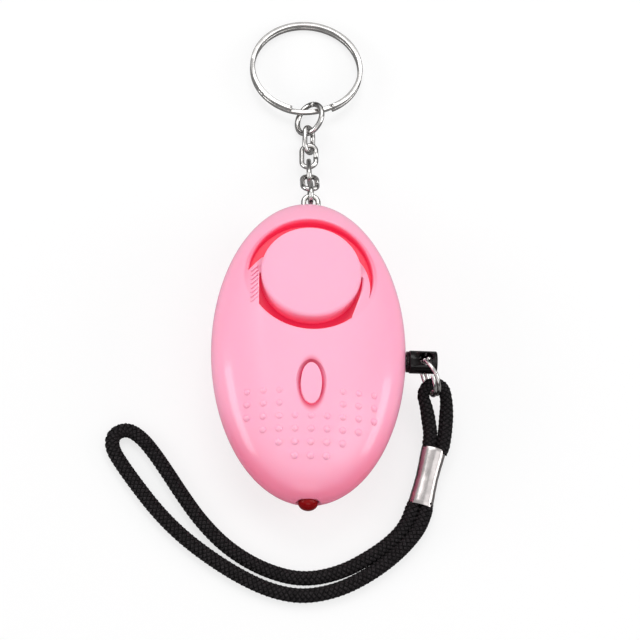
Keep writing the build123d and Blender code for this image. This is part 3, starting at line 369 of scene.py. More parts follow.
@dataclass(frozen=True)
class CasingPlastic(Plastic):
    """The casing's plastic, with painted shade and a painted glow: it is painted deeper in the siren's
    well, towards the flanks, at the lower tip and in the dish round the button, and glows red at the
    well's foot and in the button's gap.

    A span holds the two ends of a smooth change. Those round the button are shares of its half
    sizes, all others are in millimetres.
    """

    siren_y: float = 13.7
    disc_edge: Span = (9.6, 10.04)
    disc_top: Span = (16.6, 17.5)
    top_dulling: float = 0.24
    under_disc: Span = (13.4, 13.9)
    front_half: Span = (11.2, 12.2)
    well_edge: Span = (13.0, 13.6)
    # Painted shade in the siren's well, a deeper red towards its foot.
    well_shade_height: Span = (12.6, 16.6)
    well_shade_least: float = 0.06
    well_shade_blend: Span = (13.1, 14.6)
    well_shade_deep: Color = shade(220, 20, 54)
    well_shade_light: Color = shade(250, 84, 120)
    # Painted red glow at the well's foot.
    painted_glow_height: Span = (12.6, 15.6)
    painted_glow_color: Color = (0.26, 0.012, 0.042)
    # Painted shade towards the flanks.
    flank_shade_span: Span = (5.0, 17.0)
    flank_shade_share: float = 0.75
    # Painted shade at the lower tip.
    tip_shade_height: Span = (11.0, 15.8)
    tip_shade_y: Span = (-28.0, -8.0)
    tip_shade_share: float = 0.74
    tip_shade_color: Color = shade(245, 108, 142)
    button_y: float = -11.0
    button_half_width: float = 2.2
    button_half_length: float = 4.4
    # Painted shade in the dish round the button.
    dish_shade_outside: Span = (1.0, 1.42)
    dish_shade_inside: Span = (0.95, 0.99)
    dish_shade_share: float = 0.95
    dish_shade_color: Color = shade(216, 56, 96)
    # Painted glow in the gap round the button.
    gap_glow_outside: Span = (1.0, 1.03)
    gap_glow_inside: Span = (0.9, 0.93)
    gap_glow_top: Span = (17.1, 17.5)

    def in_well(self, place: Place) -> Wire:
        """Share of a point in the siren's well, beside the disc or under it."""
        away = place.y - self.siren_y
        radius = (place.x * place.x + away * away) ** 0.5
        beside = radius.ramp(*self.disc_edge)
        under = 1 - place.z.ramp(*self.under_disc)
        inside = (1 - radius.ramp(*self.well_edge)) * place.z.ramp(*self.front_half)
        return inside * (beside + under - beside * under)

    def round_button(self, place: Place, outside: Span, inside: Span) -> Wire:
        """Share of a point in an oval band round the light button.

        Args:
            place: The point.
            outside: Span over which the band ends.
            inside: Span over which it begins.

        Returns:
            The share.
        """
        away = place.y - self.button_y
        across = place.x * place.x / self.button_half_width**2
        reach = (across + away * away / self.button_half_length**2) ** 0.5
        return (1 - reach.ramp(*outside)) * reach.ramp(*inside) * place.z.ramp(*self.front_half)

    def tint(self, shader: Shader, place: Place) -> Wire:
        """Colour with painted shade: deeper towards the flanks, red towards the well's foot, and deeper
        at the lower tip and in the dish.
        """
        # Painted shade: the colour deepens towards the flanks.
        sides = place.x.size().ramp(*self.flank_shade_span) * self.flank_shade_share
        base = shader.mix(sides, super().tint(shader, place), self.deep)
        # Painted shade: the well turns a deeper red towards its foot.
        depth = (1 - place.z.ramp(*self.well_shade_height)) * (1 - self.well_shade_least) + self.well_shade_least
        red = shader.mix(place.z.ramp(*self.well_shade_blend), self.well_shade_deep, self.well_shade_light)
        well_shaded = shader.mix(self.in_well(place) * depth, base, red)
        # Painted shade at the lower tip.
        low = (1 - place.z.ramp(*self.tip_shade_height)) * (1 - place.y.ramp(*self.tip_shade_y))
        tip_shaded = shader.mix(low * self.tip_shade_share, well_shaded, self.tip_shade_color)
        # Painted shade in the dish round the button.
        dish = self.round_button(place, self.dish_shade_outside, self.dish_shade_inside)
        return shader.mix(dish * self.dish_shade_share, tip_shaded, self.dish_shade_color)

    def dulling(self, place: Place) -> Any:
        """Roughness that is added on top of the siren's disc."""
        return place.z.ramp(*self.disc_top) * self.top_dulling

    def values(self, shader: Shader, place: Place) -> dict[str, Any]:
        """Values of the surface, with a painted red glow at the well's foot and in the button's gap that
        stands in for light let through thin walls.
        """
        # Painted glow at the well's foot and in the button's gap, with less coat there.
        deep = self.in_well(place) * (1 - place.z.ramp(*self.painted_glow_height))
        band = self.round_button(place, self.gap_glow_outside, self.gap_glow_inside)
        painted_glow = deep + band * (1 - place.z.ramp(*self.gap_glow_top))
        return {
            **super().values(shader, place),
            "Emission Color": shader.mix(painted_glow, DARK, self.painted_glow_color),
            "Emission Strength": 1.0,
            "Coat Weight": (1 - deep) * (1 - place.z.ramp(*self.disc_top)) * self.coat,
        }


@dataclass(frozen=True)
class Metal(Coating):
    """Bright or satin metal with a faint brushing."""

    roughness: float = 0.14
    scratch_depth: float = 0.002
    scratch_grain: float = 2.2
    scratch_detail: float = 5.0
    scratch_unevenness: float = 0.06
    cloud_grain: float = 0.5
    cloud_span: Span = (0.35, 0.7)
    cloud_unevenness: float = 0.08
    dull_share: float = 0.86

    def values(self, shader: Shader, place: Place) -> dict[str, Any]:
        """Values of the metal's surface."""
        cloud = shader.noise(place.vector, self.cloud_grain)
        scratch = shader.noise(place.vector, self.scratch_grain, self.scratch_detail)
        dull = tuple(part * self.dull_share for part in self.color)
        even = self.roughness - (self.cloud_unevenness + self.scratch_unevenness) / 2
        uneven = cloud * self.cloud_unevenness + scratch * self.scratch_unevenness
        return {
            "Base Color": shader.mix(cloud.ramp(*self.cloud_span), dull, self.color),
            "Metallic": 1.0,
            "Roughness": uneven + even,
            "Normal": shader.bump(scratch, self.scratch_depth),
        }


@dataclass(frozen=True)
class Yarn(Coating):
    """Braided nylon: twisted filaments that run along each strand, on the strands' own UV map, with a
    painted highlight on each strand's crown.
    """

    # Colour of the painted highlight.
    light: Color
    filaments: float = 7.0
    twist: float = 2.0
    # Span of the painted highlight round each strand's crown.
    crown: Span = (0.5, 1.0)
    wear_and_sheen_grain: float = 1.4
    wear_and_sheen_detail: float = 3.0
    roughness: float = 0.7
    polish: float = 0.2
    gloss: float = 0.04
    thread_depth: float = 0.03
    thread_strength: float = 0.7

    def values(self, shader: Shader, place: Place) -> dict[str, Any]:
        """Values of the yarn's surface."""
        chart = shader.node("ShaderNodeUVMap", {"uv_map": "strand"}, {})
        along, around, _ = shader.split(Wire(shader, chart.outputs[0]))
        thread = ((around * self.filaments + along * self.twist) * math.tau).sine() * 0.5 + 0.5
        # Painted highlight on the crown of each strand, broken by the filaments.
        crown = (around * math.tau).sine().ramp(*self.crown)
        # Noise that varies both the yarn's polish and the painted highlight.
        wear_and_sheen = shader.noise(place.vector, self.wear_and_sheen_grain, self.wear_and_sheen_detail)
        return {
            "Base Color": shader.mix((thread * 0.5 + 0.5) * crown * wear_and_sheen, self.color, self.light),
            "Roughness": self.roughness - wear_and_sheen * self.polish,
            "Specular IOR Level": self.gloss,
            "Normal": shader.bump(thread, self.thread_depth, self.thread_strength),
        }


@dataclass(frozen=True)
class Lens(Coating):
    """Clear coloured plastic that turns darker towards its lower side."""

    deep: Color
    lower_dark_height: Span = (6.6, 11.0)
    lower_dark_share: float = 0.7
    cloud_grain: float = 0.9
    cloud_share: float = 0.2
    roughness: float = 0.14
    unevenness: float = 0.05
    coat: float = 0.06
    coat_roughness: float = 0.05
    gloss: float = 0.1

    def values(self, shader: Shader, place: Place) -> dict[str, Any]:
        """Values of the lens's surface."""
        # Darker towards the lower side.
        depth = 1 - place.z.ramp(*self.lower_dark_height)
        cloud = shader.noise(place.vector, self.cloud_grain)
        share = depth * self.lower_dark_share + cloud * self.cloud_share
        return {
            "Base Color": shader.mix(share, self.color, self.deep),
            "Roughness": cloud * self.unevenness + self.roughness,
            "Coat Weight": self.coat,
            "Coat Roughness": self.coat_roughness,
            "Specular IOR Level": self.gloss,
        }


@dataclass(frozen=True)
class Board(Coating):
    """Green board with masked tracks in it."""

    track: Color
    waves_x: float = 2.6
    waves_y: float = 1.7
    track_edge: Span = (0.1, 0.2)
    track_share: float = 0.7
    track_depth: float = 0.03
    fibre_grain: float = 4.0
    roughness: float = 0.28
    unevenness: float = 0.12

    def values(self, shader: Shader, place: Place) -> dict[str, Any]:
        """Values of the board's surface."""
        waves = (place.x * self.waves_x).sine() * (place.y * self.waves_y).sine()
        lines = waves.ramp(*self.track_edge)
        fibre = shader.noise(place.vector, self.fibre_grain)
        return {
            "Base Color": shader.mix(lines * self.track_share, self.color, self.track),
            "Roughness": fibre * self.unevenness + self.roughness,
            "Normal": shader.bump(lines, self.track_depth),
        }


class Finish(Enum):
    """The finishes of the alarm's pieces, by record slot."""

    PINK = CasingPlastic(
        "pink_plastic",
        shade(255, 178, 204),
        # Deeper tone of the slow drift, also the painted shade towards the flanks.
        shade(254, 164, 194),
        roughness=0.34,
        coat=0.5,
        gloss=0.32,
        scatter=0.12,
    )
    BLACK = Plastic(
        "black_plastic", shade(14, 10, 11), shade(7, 5, 6), roughness=0.18, coat=0.15, gloss=0.16
    )
    NICKEL = Metal("nickel", shade(205, 203, 201), roughness=0.13)
    CRIMP = Metal("crimp_metal", shade(172, 167, 166), roughness=0.22, scratch_depth=0.006)
    # Black yarn and the colour of its painted highlight.
    CORD = Yarn("cord", shade(3, 3, 3), shade(66, 62, 64))
    LENS = Lens("red_lens", shade(140, 6, 12), shade(70, 2, 5))
    BOARD = Board("board", shade(16, 78, 40), shade(58, 122, 60))
    EPOXY = Plastic("parts_black", shade(34, 34, 36), shade(22, 22, 24), roughness=0.55, coat=0.0)
    CAN = Metal("aluminium_can", shade(206, 207, 210), roughness=0.3)
    FERRITE = Plastic("ferrite", shade(60, 58, 60), shade(40, 39, 41), roughness=0.65, coat=0.0)
    BRASS = Metal("brass", shade(214, 178, 104), roughness=0.28)
    CERAMIC = Plastic("ceramic", shade(226, 223, 214), shade(206, 202, 192), roughness=0.6, coat=0.0)
    FOAM = Plastic("foam", shade(42, 42, 44), shade(26, 26, 28), roughness=0.9, coat=0.0, skin_depth=0.05)
    SLEEVE = Plastic("wire_insulation", shade(186, 22, 24), shade(150, 12, 16), roughness=0.4)
    SPRING = Metal("spring_steel", shade(198, 198, 196), roughness=0.2)
    CELL = Metal("cell_steel", shade(204, 206, 210), roughness=0.24)
    LAMP = Lens("lamp", shade(230, 90, 80), shade(190, 40, 36))

    def material(self) -> bpy.types.Material:
        """The finish's material, built once."""
        found = bpy.data.materials.get(f"{self.value.name}_finish")
        if found is None:
            found = self.value.material()
            found.name = f"{self.value.name}_finish"
        return found


# Modelling helpers


def choose(piece: bpy.types.Object) -> None:
    """Make one object the only selected and active one."""
    bpy.ops.object.select_all(action="DESELECT")
    piece.select_set(True)
    bpy.context.view_layer.objects.active = piece


def hang(name: str, data: bpy.types.ID) -> bpy.types.Object:
    """New object in the scene."""
    piece = bpy.data.objects.new(name, data)
    bpy.context.scene.collection.objects.link(piece)
    return piece


def modify(piece: bpy.types.Object, kind: str, **settings: Any) -> None:
    """Set up one modifier of the active object and apply it."""
    modifier = piece.modifiers.new(kind.lower(), kind)
    for key, value in settings.items():
        setattr(modifier, key, value)
    bpy.ops.object.modifier_apply(modifier=modifier.name)


def smooth(angle: float) -> None:
    """Smooth the active object where its faces meet at less than an angle, in degrees."""
    bpy.ops.object.shade_smooth_by_angle(angle=math.radians(angle))


def paint(piece: bpy.types.Object, finish: Finish) -> None:
    """Give an object one finish."""
    piece.data.materials.clear()
    piece.data.materials.append(finish.material())


def body_of(node: str) -> str:
    """Name of the CAD body that holds a node."""
    bodies = FRAME["record"]["behaviour"]["bodies"]
    return next(body for body, members in bodies.items() if node in members)


def dress(piece: bpy.types.Object, finish: Finish, body: str) -> None:
    """Give a piece its finish and body.

    Args:
        piece: The finished piece.
        finish: Its finish.
        body: The body it rides on.
    """
    paint(piece, finish)
    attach(piece, body)
    LOG.info("piece %s on %s", piece.name, body)


class Form:
    """A curved form that part of a skin follows, which knows its own exact normals."""

    def normal_at(self, point: Vector) -> Optional[Vector]:
        """Outward normal at a place on the form.

        Args:
            point: The place, in millimetres.

        Returns:
            The normal, or None where the place isn't on the form.
        """
        raise NotImplementedError


@dataclass
class Crown(Form):
    """Outer dome of a cover: a full round profile, drawn out along Y."""

    depth: float = 9.0
    side: float = 1.0
    parting: float = 9.0
    half_width: float = 19.5
    half_length: float = 33.0
    fullness: float = 0.65
    slack: float = 0.03
    proud: float = 0.0
    rim: float = 1.001
    apex: float = 1e-5
    search_steps: int = 34

    def profile(self, share: float) -> tuple[float, float, float]:
        """Height share and slopes of the profile at a share of the radius.

        Args:
            share: Share of the outline's radius, from 0 to 1.

        Returns:
            The height share, and how fast the radius and the height change there.
        """
        low, high = 0.0, 1.0
        for _ in range(self.search_steps):
            step = (low + high) / 2
            rest = 1 - step
            if 3 * rest**2 * step * self.fullness + 3 * rest * step**2 + step**3 < share:
                low = step
            else:
                high = step
        rest = 1 - low
        height = rest**3 + 3 * rest**2 * low + 3 * rest * low**2 * self.fullness
        out = 3 * self.fullness * rest * (rest - 2 * low) + 3 * low * (2 * rest - low) + 3 * low**2
        down = -3 * rest**2 + 3 * rest * (rest - 2 * low) + 3 * self.fullness * low * (2 * rest - low)
        return height, out, down

    def height(self, x: float, y: float) -> float:
        """Height of the dome over a point, in millimetres."""
        share = min(1.0, math.hypot(x / self.half_width, y / self.half_length))
        return self.parting + self.side * self.depth * self.profile(share)[0]

    def normal_at(self, point: Vector) -> Optional[Vector]:
        """Outward normal at a place on the dome, or None elsewhere."""
        share = math.hypot(point.x / self.half_width, point.y / self.half_length)
        if share > self.rim:
            return None
        if share < self.apex:
            return Vector((0, 0, self.side))
        height, out, down = self.profile(share)
        rise = -down * self.depth / share
        spread = Vector((point.x / self.half_width**2, point.y / self.half_length**2, 0)) * rise
        normal = (spread + Vector((0, 0, self.side * out))).normalized()
        level = self.parting + self.side * (self.depth * height + self.proud)
        return normal if abs((point.z - level) * normal.z) < self.slack else None


@dataclass
class Dish(Form):
    """Hollow round the light button."""

    middle: Point = (0.0, -11.0, 17.66)
    reach: Point = (3.0, 5.2, 0.75)
    slack: float = 0.01

    def normal_at(self, point: Vector) -> Optional[Vector]:
        """Normal towards the hollow's middle at a place on it, or None elsewhere."""
        sizes = zip(point, self.middle, self.reach)
        shares = [(value - middle) / size for value, middle, size in sizes]
        if abs(math.hypot(*shares) - 1) > self.slack or shares[2] > self.slack:
            return None
        return -Vector([share / size for share, size in zip(shares, self.reach)]).normalized()


@dataclass
class Bumps(Form):
    """Rows of small round grips under the light button."""

    crown: Crown
    radius: float = 0.8
    pitch_x: float = 3.0693
    pitch_y: float = 2.5608
    first_y: float = -12.507
    sink: float = 0.52
    rise: float = 0.035
    slack: float = 0.012
    rows: tuple[int, ...] = (4, 4, 4, 3, 2, 1)
    middles: list[Vector] = field(default_factory=list)

    def __post_init__(self) -> None:
        """Place the middle of each grip under the dome."""
        for row, reach in enumerate(self.rows):
            y = self.first_y - row * self.pitch_y
            for place in range(-reach, reach + 1):
                x = place * self.pitch_x
                sink = self.sink - self.rise * (row + abs(place) / 2)
                self.middles.append(Vector((x, y, self.crown.height(x, y) - sink)))

    def normal_at(self, point: Vector) -> Optional[Vector]:
        """Outward normal at a place on a grip, or None elsewhere."""
        for middle in self.middles:
            if abs(point.x - middle.x) < self.radius and abs(point.y - middle.y) < self.radius:
                arm = point - middle
                if abs(arm.length - self.radius) < self.slack:
                    return arm.normalized()
        return None


def follow(piece: bpy.types.Object, forms: Sequence[Form], likeness: float = 0.86) -> None:
    """Shade a skin by the exact normals of the forms that it follows.

    Args:
        piece: The skin.
        forms: The forms, the first that fits a face's corner is used.
        likeness: Cosine between a face and a form's normal from which they belong together.
    """
    mesh = piece.data
    normals = [corner.vector.copy() for corner in mesh.corner_normals]
    exact = [[form.normal_at(vertex.co / MM) for form in forms] for vertex in mesh.vertices]
    for polygon in mesh.polygons:
        for corner in polygon.loop_indices:
            for normal in exact[mesh.loops[corner].vertex_index]:
                if normal is not None and normal.dot(polygon.normal) > likeness:
                    normals[corner] = normal
                    break
    mesh.normals_split_custom_set(normals)


def skin(node: str, finish: Finish, angle: float = 32.0, weighted: bool = True) -> bpy.types.Object:
    """Smooth-shaded copy of a CAD node that stands for it.

    Args:
        node: Name of the node.
        finish: The finish of the copy.
        angle: Edges sharper than this many degrees stay sharp.
        weighted: Whether large faces lead the shading.

    Returns:
        The copy.
    """
    piece = hang(f"{node}_skin", FRAME["nodes"][node].data.copy())
    choose(piece)
    bpy.ops.object.mode_set(mode="EDIT")
    bpy.ops.mesh.select_all(action="SELECT")
    bpy.ops.mesh.remove_doubles(threshold=MERGE_DISTANCE)
    bpy.ops.object.mode_set(mode="OBJECT")
    smooth(angle)
    if weighted:
        modify(piece, "WEIGHTED_NORMAL", keep_sharp=True)
    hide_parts(node)
    dress(piece, finish, body_of(node))
    return piece


def plain(node: str, finish: Finish) -> None:
    """Give a CAD node that stays as it is its material."""
    paint(FRAME["nodes"][node], finish)
    LOG.info("node %s dressed", node)


def seat(piece: bpy.types.Object) -> None:
    """Put a piece's place into its mesh, so that its object sits at the origin."""
    choose(piece)
    bpy.ops.object.transform_apply(location=True, rotation=True, scale=True)


# Sub-assemblies


@dataclass
class Casing:
    """The two covers, the siren's floor and the button."""

    rib_count: int = 8
    rib_pitch: float = 1.02
    rib_width: float = 0.44
    rib_height: float = 0.36
    rib_length: float = 1.9
    rib_turn: float = 42.0
    ramp_x: float = 11.35
    first_rib_y: float = 7.5
    rib_rounding: float = 0.4
    rib_angle: float = 40.0
    above: float = 30.0
    back_depth: float = 9.6
    button_proud: float = 0.1
    button_slack: float = 0.12
    button_likeness: float = 0.97

    def build(self) -> None:
        """Make and dress the casing's pieces."""
        crown = Crown()
        cover = skin("front_cover", Finish.PINK, weighted=False)
        follow(cover, (Dish(), Bumps(crown), crown))
        back = skin("back_cover", Finish.PINK, weighted=False)
        follow(back, (Crown(depth=self.back_depth, side=-1.0),))
        button = skin("light_button", Finish.PINK, weighted=False)
        top = Crown(proud=self.button_proud, slack=self.button_slack)
        follow(button, (top,), self.button_likeness)
        skin("sound_ring", Finish.PINK)
        skin("case_screws", Finish.NICKEL)
        self.ribs(cover)

    def ribs(self, cover: bpy.types.Object) -> bpy.types.Object:
        """Fine slanted ribs that lie on the left ramp.

        Args:
            cover: The front cover's skin, whose ramp they follow.

        Returns:
            The ribs, as one piece.
        """
        bpy.context.view_layer.update()
        turn = math.radians(self.rib_turn)
        made = []
        for step in range(self.rib_count):
            start = Vector((-self.ramp_x, self.first_rib_y + step * self.rib_pitch, self.above)) * MM
            _, foot, up, _ = cover.ray_cast(start, Vector((0.0, 0.0, -1.0)))
            side = up.cross(Vector((math.cos(turn), math.sin(turn), 0.0))).normalized()
            axes = Matrix((side.cross(up), side, up)).transposed()
            place = foot + up * (self.rib_height / 4 * MM)
            bpy.ops.object.select_all(action="DESELECT")
            bpy.ops.mesh.primitive_cube_add(size=MM, location=place, rotation=axes.to_euler())
            rib = bpy.context.active_object
            rib.scale = (self.rib_length, self.rib_width, self.rib_height)
            seat(rib)
            modify(rib, "BEVEL", width=self.rib_height * self.rib_rounding * MM, segments=BEVEL_SEGMENTS)
            made.append(rib)
        bpy.ops.object.select_all(action="DESELECT")
        for rib in made:
            rib.select_set(True)
        bpy.context.view_layer.objects.active = made[0]
        bpy.ops.object.join()
        piece = bpy.context.active_object
        piece.name = "ramp_ribs"
        smooth(self.rib_angle)
        dress(piece, Finish.PINK, "casing")
        return piece


@dataclass
class Lamp:
    """Lens and bulb at the lower tip."""

    def build(self) -> None:
        """Make and dress the lamp's pieces."""
        skin("light_lens", Finish.LENS)
        skin("light_bulb", Finish.LAMP)


@dataclass
class Chain:
    """Anchor post, links and rings on the key side."""

    links: int = 5

    def build(self) -> None:
        """Make and dress the metal pieces."""
        names = ["anchor_post", "anchor_link", "jump_ring", "key_ring"]
        names += [f"chain_link_{number}" for number in range(1, self.links + 1)]
        for node in names:
            skin(node, Finish.NICKEL, angle=WIRE_ANGLE, weighted=False)


@dataclass
class PullPin:
    """Pull pin with its split ring."""

    def build(self) -> None:
        """Make and dress the pin and its ring."""
        skin("pull_pin", Finish.BLACK)
        skin("pin_ring", Finish.NICKEL, angle=WIRE_ANGLE, weighted=False)


@dataclass
class Ferrule:
    """Crimped metal sleeve over the cord's two strands."""

    high: Point = (25.5, -18.2, 3.2)
    low: Point = (22.6, -30.1, 2.3)
    half_width: float = 2.6
    half_thickness: float = 1.65
    mouth: float = 0.95
    waist: float = 0.86
    wall: float = 0.35
    bite: float = 0.012
    bites: int = 5
    rim_rounding: float = 0.25
    rim_angle: float = 50.0
    smooth_angle: float = 35.0
    rings: int = 14
    sides: int = 48

    def frame(self) -> Matrix:
        """Placing matrix: local Z along the sleeve, local X across both strands."""
        start, end = Vector(self.high) * MM, Vector(self.low) * MM
        along = (end - start).normalized()
        across = along.cross(Vector((0, 0, 1))).normalized()
        matrix = Matrix((across, along.cross(across), along)).transposed().to_4x4()
        matrix.translation = (start + end) / 2
        return matrix

    def squeeze(self, share: float) -> float:
        """Size of the sleeve at a share of its length, pinched by the crimping tool."""
        waist = self.mouth - (self.mouth - self.waist) * math.sin(math.pi * share) ** 2
        bite = math.cos(math.tau * self.bites * share) * math.sin(math.pi * share) ** 2
        return waist + self.bite * bite

    def build(self) -> bpy.types.Object:
        """Make the sleeve from a cylinder, ring by ring.

        Returns:
            The sleeve.
        """
        length = (Vector(self.low) - Vector(self.high)).length * MM
        bpy.ops.object.select_all(action="DESELECT")
        bpy.ops.mesh.primitive_cylinder_add(
            vertices=self.sides, radius=MM, depth=length, end_fill_type="NOTHING"
        )
        piece = bpy.context.active_object
        piece.name = "ferrule_sleeve"
        bpy.ops.object.mode_set(mode="EDIT")
        for ring in range(1, self.rings):
            bpy.ops.mesh.select_all(action="SELECT")
            height = length * (ring / self.rings - 0.5)
            bpy.ops.mesh.bisect(plane_co=(0, 0, height), plane_no=(0, 0, 1))
        bpy.ops.object.mode_set(mode="OBJECT")
        for vertex in piece.data.vertices:
            size = self.squeeze(vertex.co.z / length + 0.5)
            vertex.co.x *= (self.half_width - self.wall / 2) * size
            vertex.co.y *= (self.half_thickness - self.wall / 2) * size
        modify(piece, "SOLIDIFY", thickness=self.wall * MM, offset=0.0)
        limit = math.radians(self.rim_angle)
        width = self.wall * self.rim_rounding * MM
        modify(piece, "BEVEL", width=width, segments=BEVEL_SEGMENTS, angle_limit=limit)
        piece.matrix_world = self.frame()
        seat(piece)
        smooth(self.smooth_angle)
        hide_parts("ferrule")
        dress(piece, Finish.CRIMP, "lanyard")
        return piece


@dataclass
class Line:
    """A cord's centre line: its points, how far along each is, and two directions across it."""

    points: list[Vector]
    spans: list[float]
    frames: list[tuple[Vector, Vector]]


@dataclass
class BraidedCord:
    """One stretch of the braided wrist cord."""

    node: str
    route: Sequence[Point]
    length: float
    carriers: int = 6
    diameter: float = 2.6
    core_share: float = 0.66
    strand_width: float = 0.94
    strand_thickness: float = 0.5
    weave_depth: float = 0.27
    lay_length: float = 6.2
    steps_per_lay: int = 30
    fullness: float = 0.18
    low_height: float = 4.6
    high_height: float = 5.8
    end_reach: float = 1.5
    strand_sides: int = 8
    core_sides: int = 12
    curve_order: int = 3
    curve_steps: int = 24
    least_steps: int = 8
    least_gap: float = 1e-12
    smooth_angle: float = 60.0

    def centreline(self) -> list[Vector]:
        """Points of the smooth line through the route.

        Returns:
            The points, in metres.
        """
        curve = bpy.data.curves.new(f"{self.node}_line", "CURVE")
        curve.dimensions = "3D"
        curve.resolution_u = self.curve_steps
        spline = curve.splines.new("NURBS")
        spline.points.add(len(self.route) - 1)
        for point, place in zip(spline.points, self.route):
            point.co = (*(value * MM for value in place), 1.0)
        spline.order_u = self.curve_order
        spline.use_endpoint_u = True
        holder = hang(curve.name, curve)
        mesh = bpy.data.meshes.new_from_object(holder)
        points = [vertex.co.copy() for vertex in mesh.vertices]
        bpy.data.objects.remove(holder)
        bpy.data.meshes.remove(mesh)
        return points

    def even(self, points: list[Vector]) -> tuple[list[Vector], list[float]]:
        """Points at even steps along a line.

        Args:
            points: The line.

        Returns:
            The points, and how far along each is.
        """
        reach = [0.0]
        for before, after in zip(points, points[1:]):
            reach.append(reach[-1] + (after - before).length)
        lays = reach[-1] / (self.lay_length * MM)
        count = max(self.least_steps, round(lays * self.steps_per_lay))
        made, spans, place = [], [], 0
        for step in range(count + 1):
            target = reach[-1] * step / count
            while place < len(reach) - 2 and reach[place + 1] < target:
                place += 1
            gap = max(reach[place + 1] - reach[place], self.least_gap)
            share = (target - reach[place]) / gap
            made.append(points[place].lerp(points[place + 1], share))
            spans.append(target)
        return made, spans

    def frames(self, points: list[Vector]) -> list[tuple[Vector, Vector]]:
        """Two directions across the line at each point, without a twist.

        Args:
            points: The line's points.

        Returns:
            A pair of directions for each point.
        """
        made: list[tuple[Vector, Vector]] = []
        side = Vector((0, 0, 1))
        for place in range(len(points)):
            along = points[min(place + 1, len(points) - 1)] - points[max(place - 1, 0)]
            along.normalize()
            side = (side - along * side.dot(along)).normalized()
            made.append((side.copy(), along.cross(side)))
        return made

    def spread(self, line: Line, rings: Rings) -> Rings:
        """Rings of the cord made fuller sideways where it lies flat, clear of the ring and the sleeve.

        Args:
            line: The cord's line.
            rings: The rings, one for each point.

        Returns:
            The fuller rings.
        """
        made = []
        for point, span, ring in zip(line.points, line.spans, rings):
            height = (self.high_height - point.z / MM) / (self.high_height - self.low_height)
            nearness = min(span, line.spans[-1] - span) / (self.end_reach * MM)
            share = self.fullness * min(1.0, max(0.0, height)) * min(1.0, nearness)
            made.append([place + ((place - point) * share).to_2d().to_3d() for place in ring])
        return made

    def tube(self, rings: Rings, charts: Charts, store: Store) -> None:
        """Add a tube of rings to the cord's mesh lists.

        Args:
            rings: Points of each ring.
            charts: UV place of each point.
            store: Lists of points, faces and face UVs to add to.
        """
        points, faces, uvs = store
        start, sides = len(points), len(rings[0])
        for ring in rings:
            points.extend(ring)
        for row in range(len(rings) - 1):
            for side in range(sides):
                after = (side + 1) % sides
                low, high = start + row * sides, start + (row + 1) * sides
                faces.append((low + side, low + after, high + after, high + side))
                near, first = charts[row][side]
                far, end = charts[row + 1][side][0], first + 1 / sides
                uvs.append([(near, first), (near, end), (far, end), (far, first)])
        around = list(range(sides))
        for row, order in ((0, around[::-1]), (len(rings) - 1, around)):
            faces.append(tuple(start + row * sides + side for side in order))
            uvs.append([charts[row][side] for side in order])

    def strand_rings(self, line: Line, carrier: int, turn: int) -> tuple[Rings, Charts]:
        """Rings of one strand, which passes over and under those that turn the other way.

        Args:
            line: The cord's line.
            carrier: Number of the strand.
            turn: 1 or -1, the way it winds.

        Returns:
            The strand's rings and their UV places.
        """
        half_thickness = self.strand_thickness * MM / 2
        half_width = self.strand_width * MM / 2
        middle = self.diameter * MM / 2 - half_thickness - self.weave_depth * MM
        rings, charts = [], []
        phase = math.tau * carrier / self.carriers
        slope = math.tau * middle / (self.lay_length * MM)
        for point, span, (side, up) in zip(line.points, line.spans, line.frames):
            wound = math.tau * span / (self.lay_length * MM)
            angle = phase + turn * wound
            crossing = (angle + turn * wound) * self.carriers / math.tau
            lift = turn * self.weave_depth * MM * math.cos(math.pi * (crossing + carrier))
            out = side * math.cos(angle) + up * math.sin(angle)
            round_way = up * math.cos(angle) - side * math.sin(angle)
            ahead = side.cross(up)
            across = (round_way - ahead * (turn * slope)).normalized()
            centre = point + out * (middle + lift)
            ring, chart = [], []
            for step in range(self.strand_sides):
                bend = math.tau * step / self.strand_sides
                wide = across * (half_width * math.cos(bend))
                ring.append(centre + wide + out * (half_thickness * math.sin(bend)))
                chart.append((span / MM, step / self.strand_sides))
            rings.append(ring)
            charts.append(chart)
        return rings, charts

    def build(self) -> bpy.types.Object:
        """Make the core and the strands of the braid.

        Returns:
            The cord.
        """
        points, spans = self.even(self.centreline())
        line = Line(points, spans, self.frames(points))
        store: Store = ([], [], [])
        radius = self.diameter * MM / 2 * self.core_share
        rings, charts = [], []
        shares = [step / self.core_sides for step in range(self.core_sides)]
        turns = [math.tau * step / self.core_sides for step in range(self.core_sides)]
        for point, span, (side, up) in zip(points, spans, line.frames):
            ways = [side * math.cos(turn) + up * math.sin(turn) for turn in turns]
            rings.append([point + way * radius for way in ways])
            charts.append([(span / MM, share) for share in shares])
        self.tube(self.spread(line, rings), charts, store)
        for carrier in range(self.carriers):
            for turn in (1, -1):
                rings, charts = self.strand_rings(line, carrier, turn)
                self.tube(self.spread(line, rings), charts, store)
        mesh = bpy.data.meshes.new(f"{self.node}_braid")
        mesh.from_pydata([tuple(point) for point in store[0]], [], store[1])
        chart = mesh.uv_layers.new(name="strand")
        corners = [corner for face in store[2] for corner in face]
        chart.data.foreach_set("uv", [value for corner in corners for value in corner])
        piece = hang(f"{self.node}_braid", mesh)
        choose(piece)
        smooth(self.smooth_angle)
        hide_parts(self.node)
        dress(piece, Finish.CORD, "lanyard")
        self.diameter * MM
        return piece


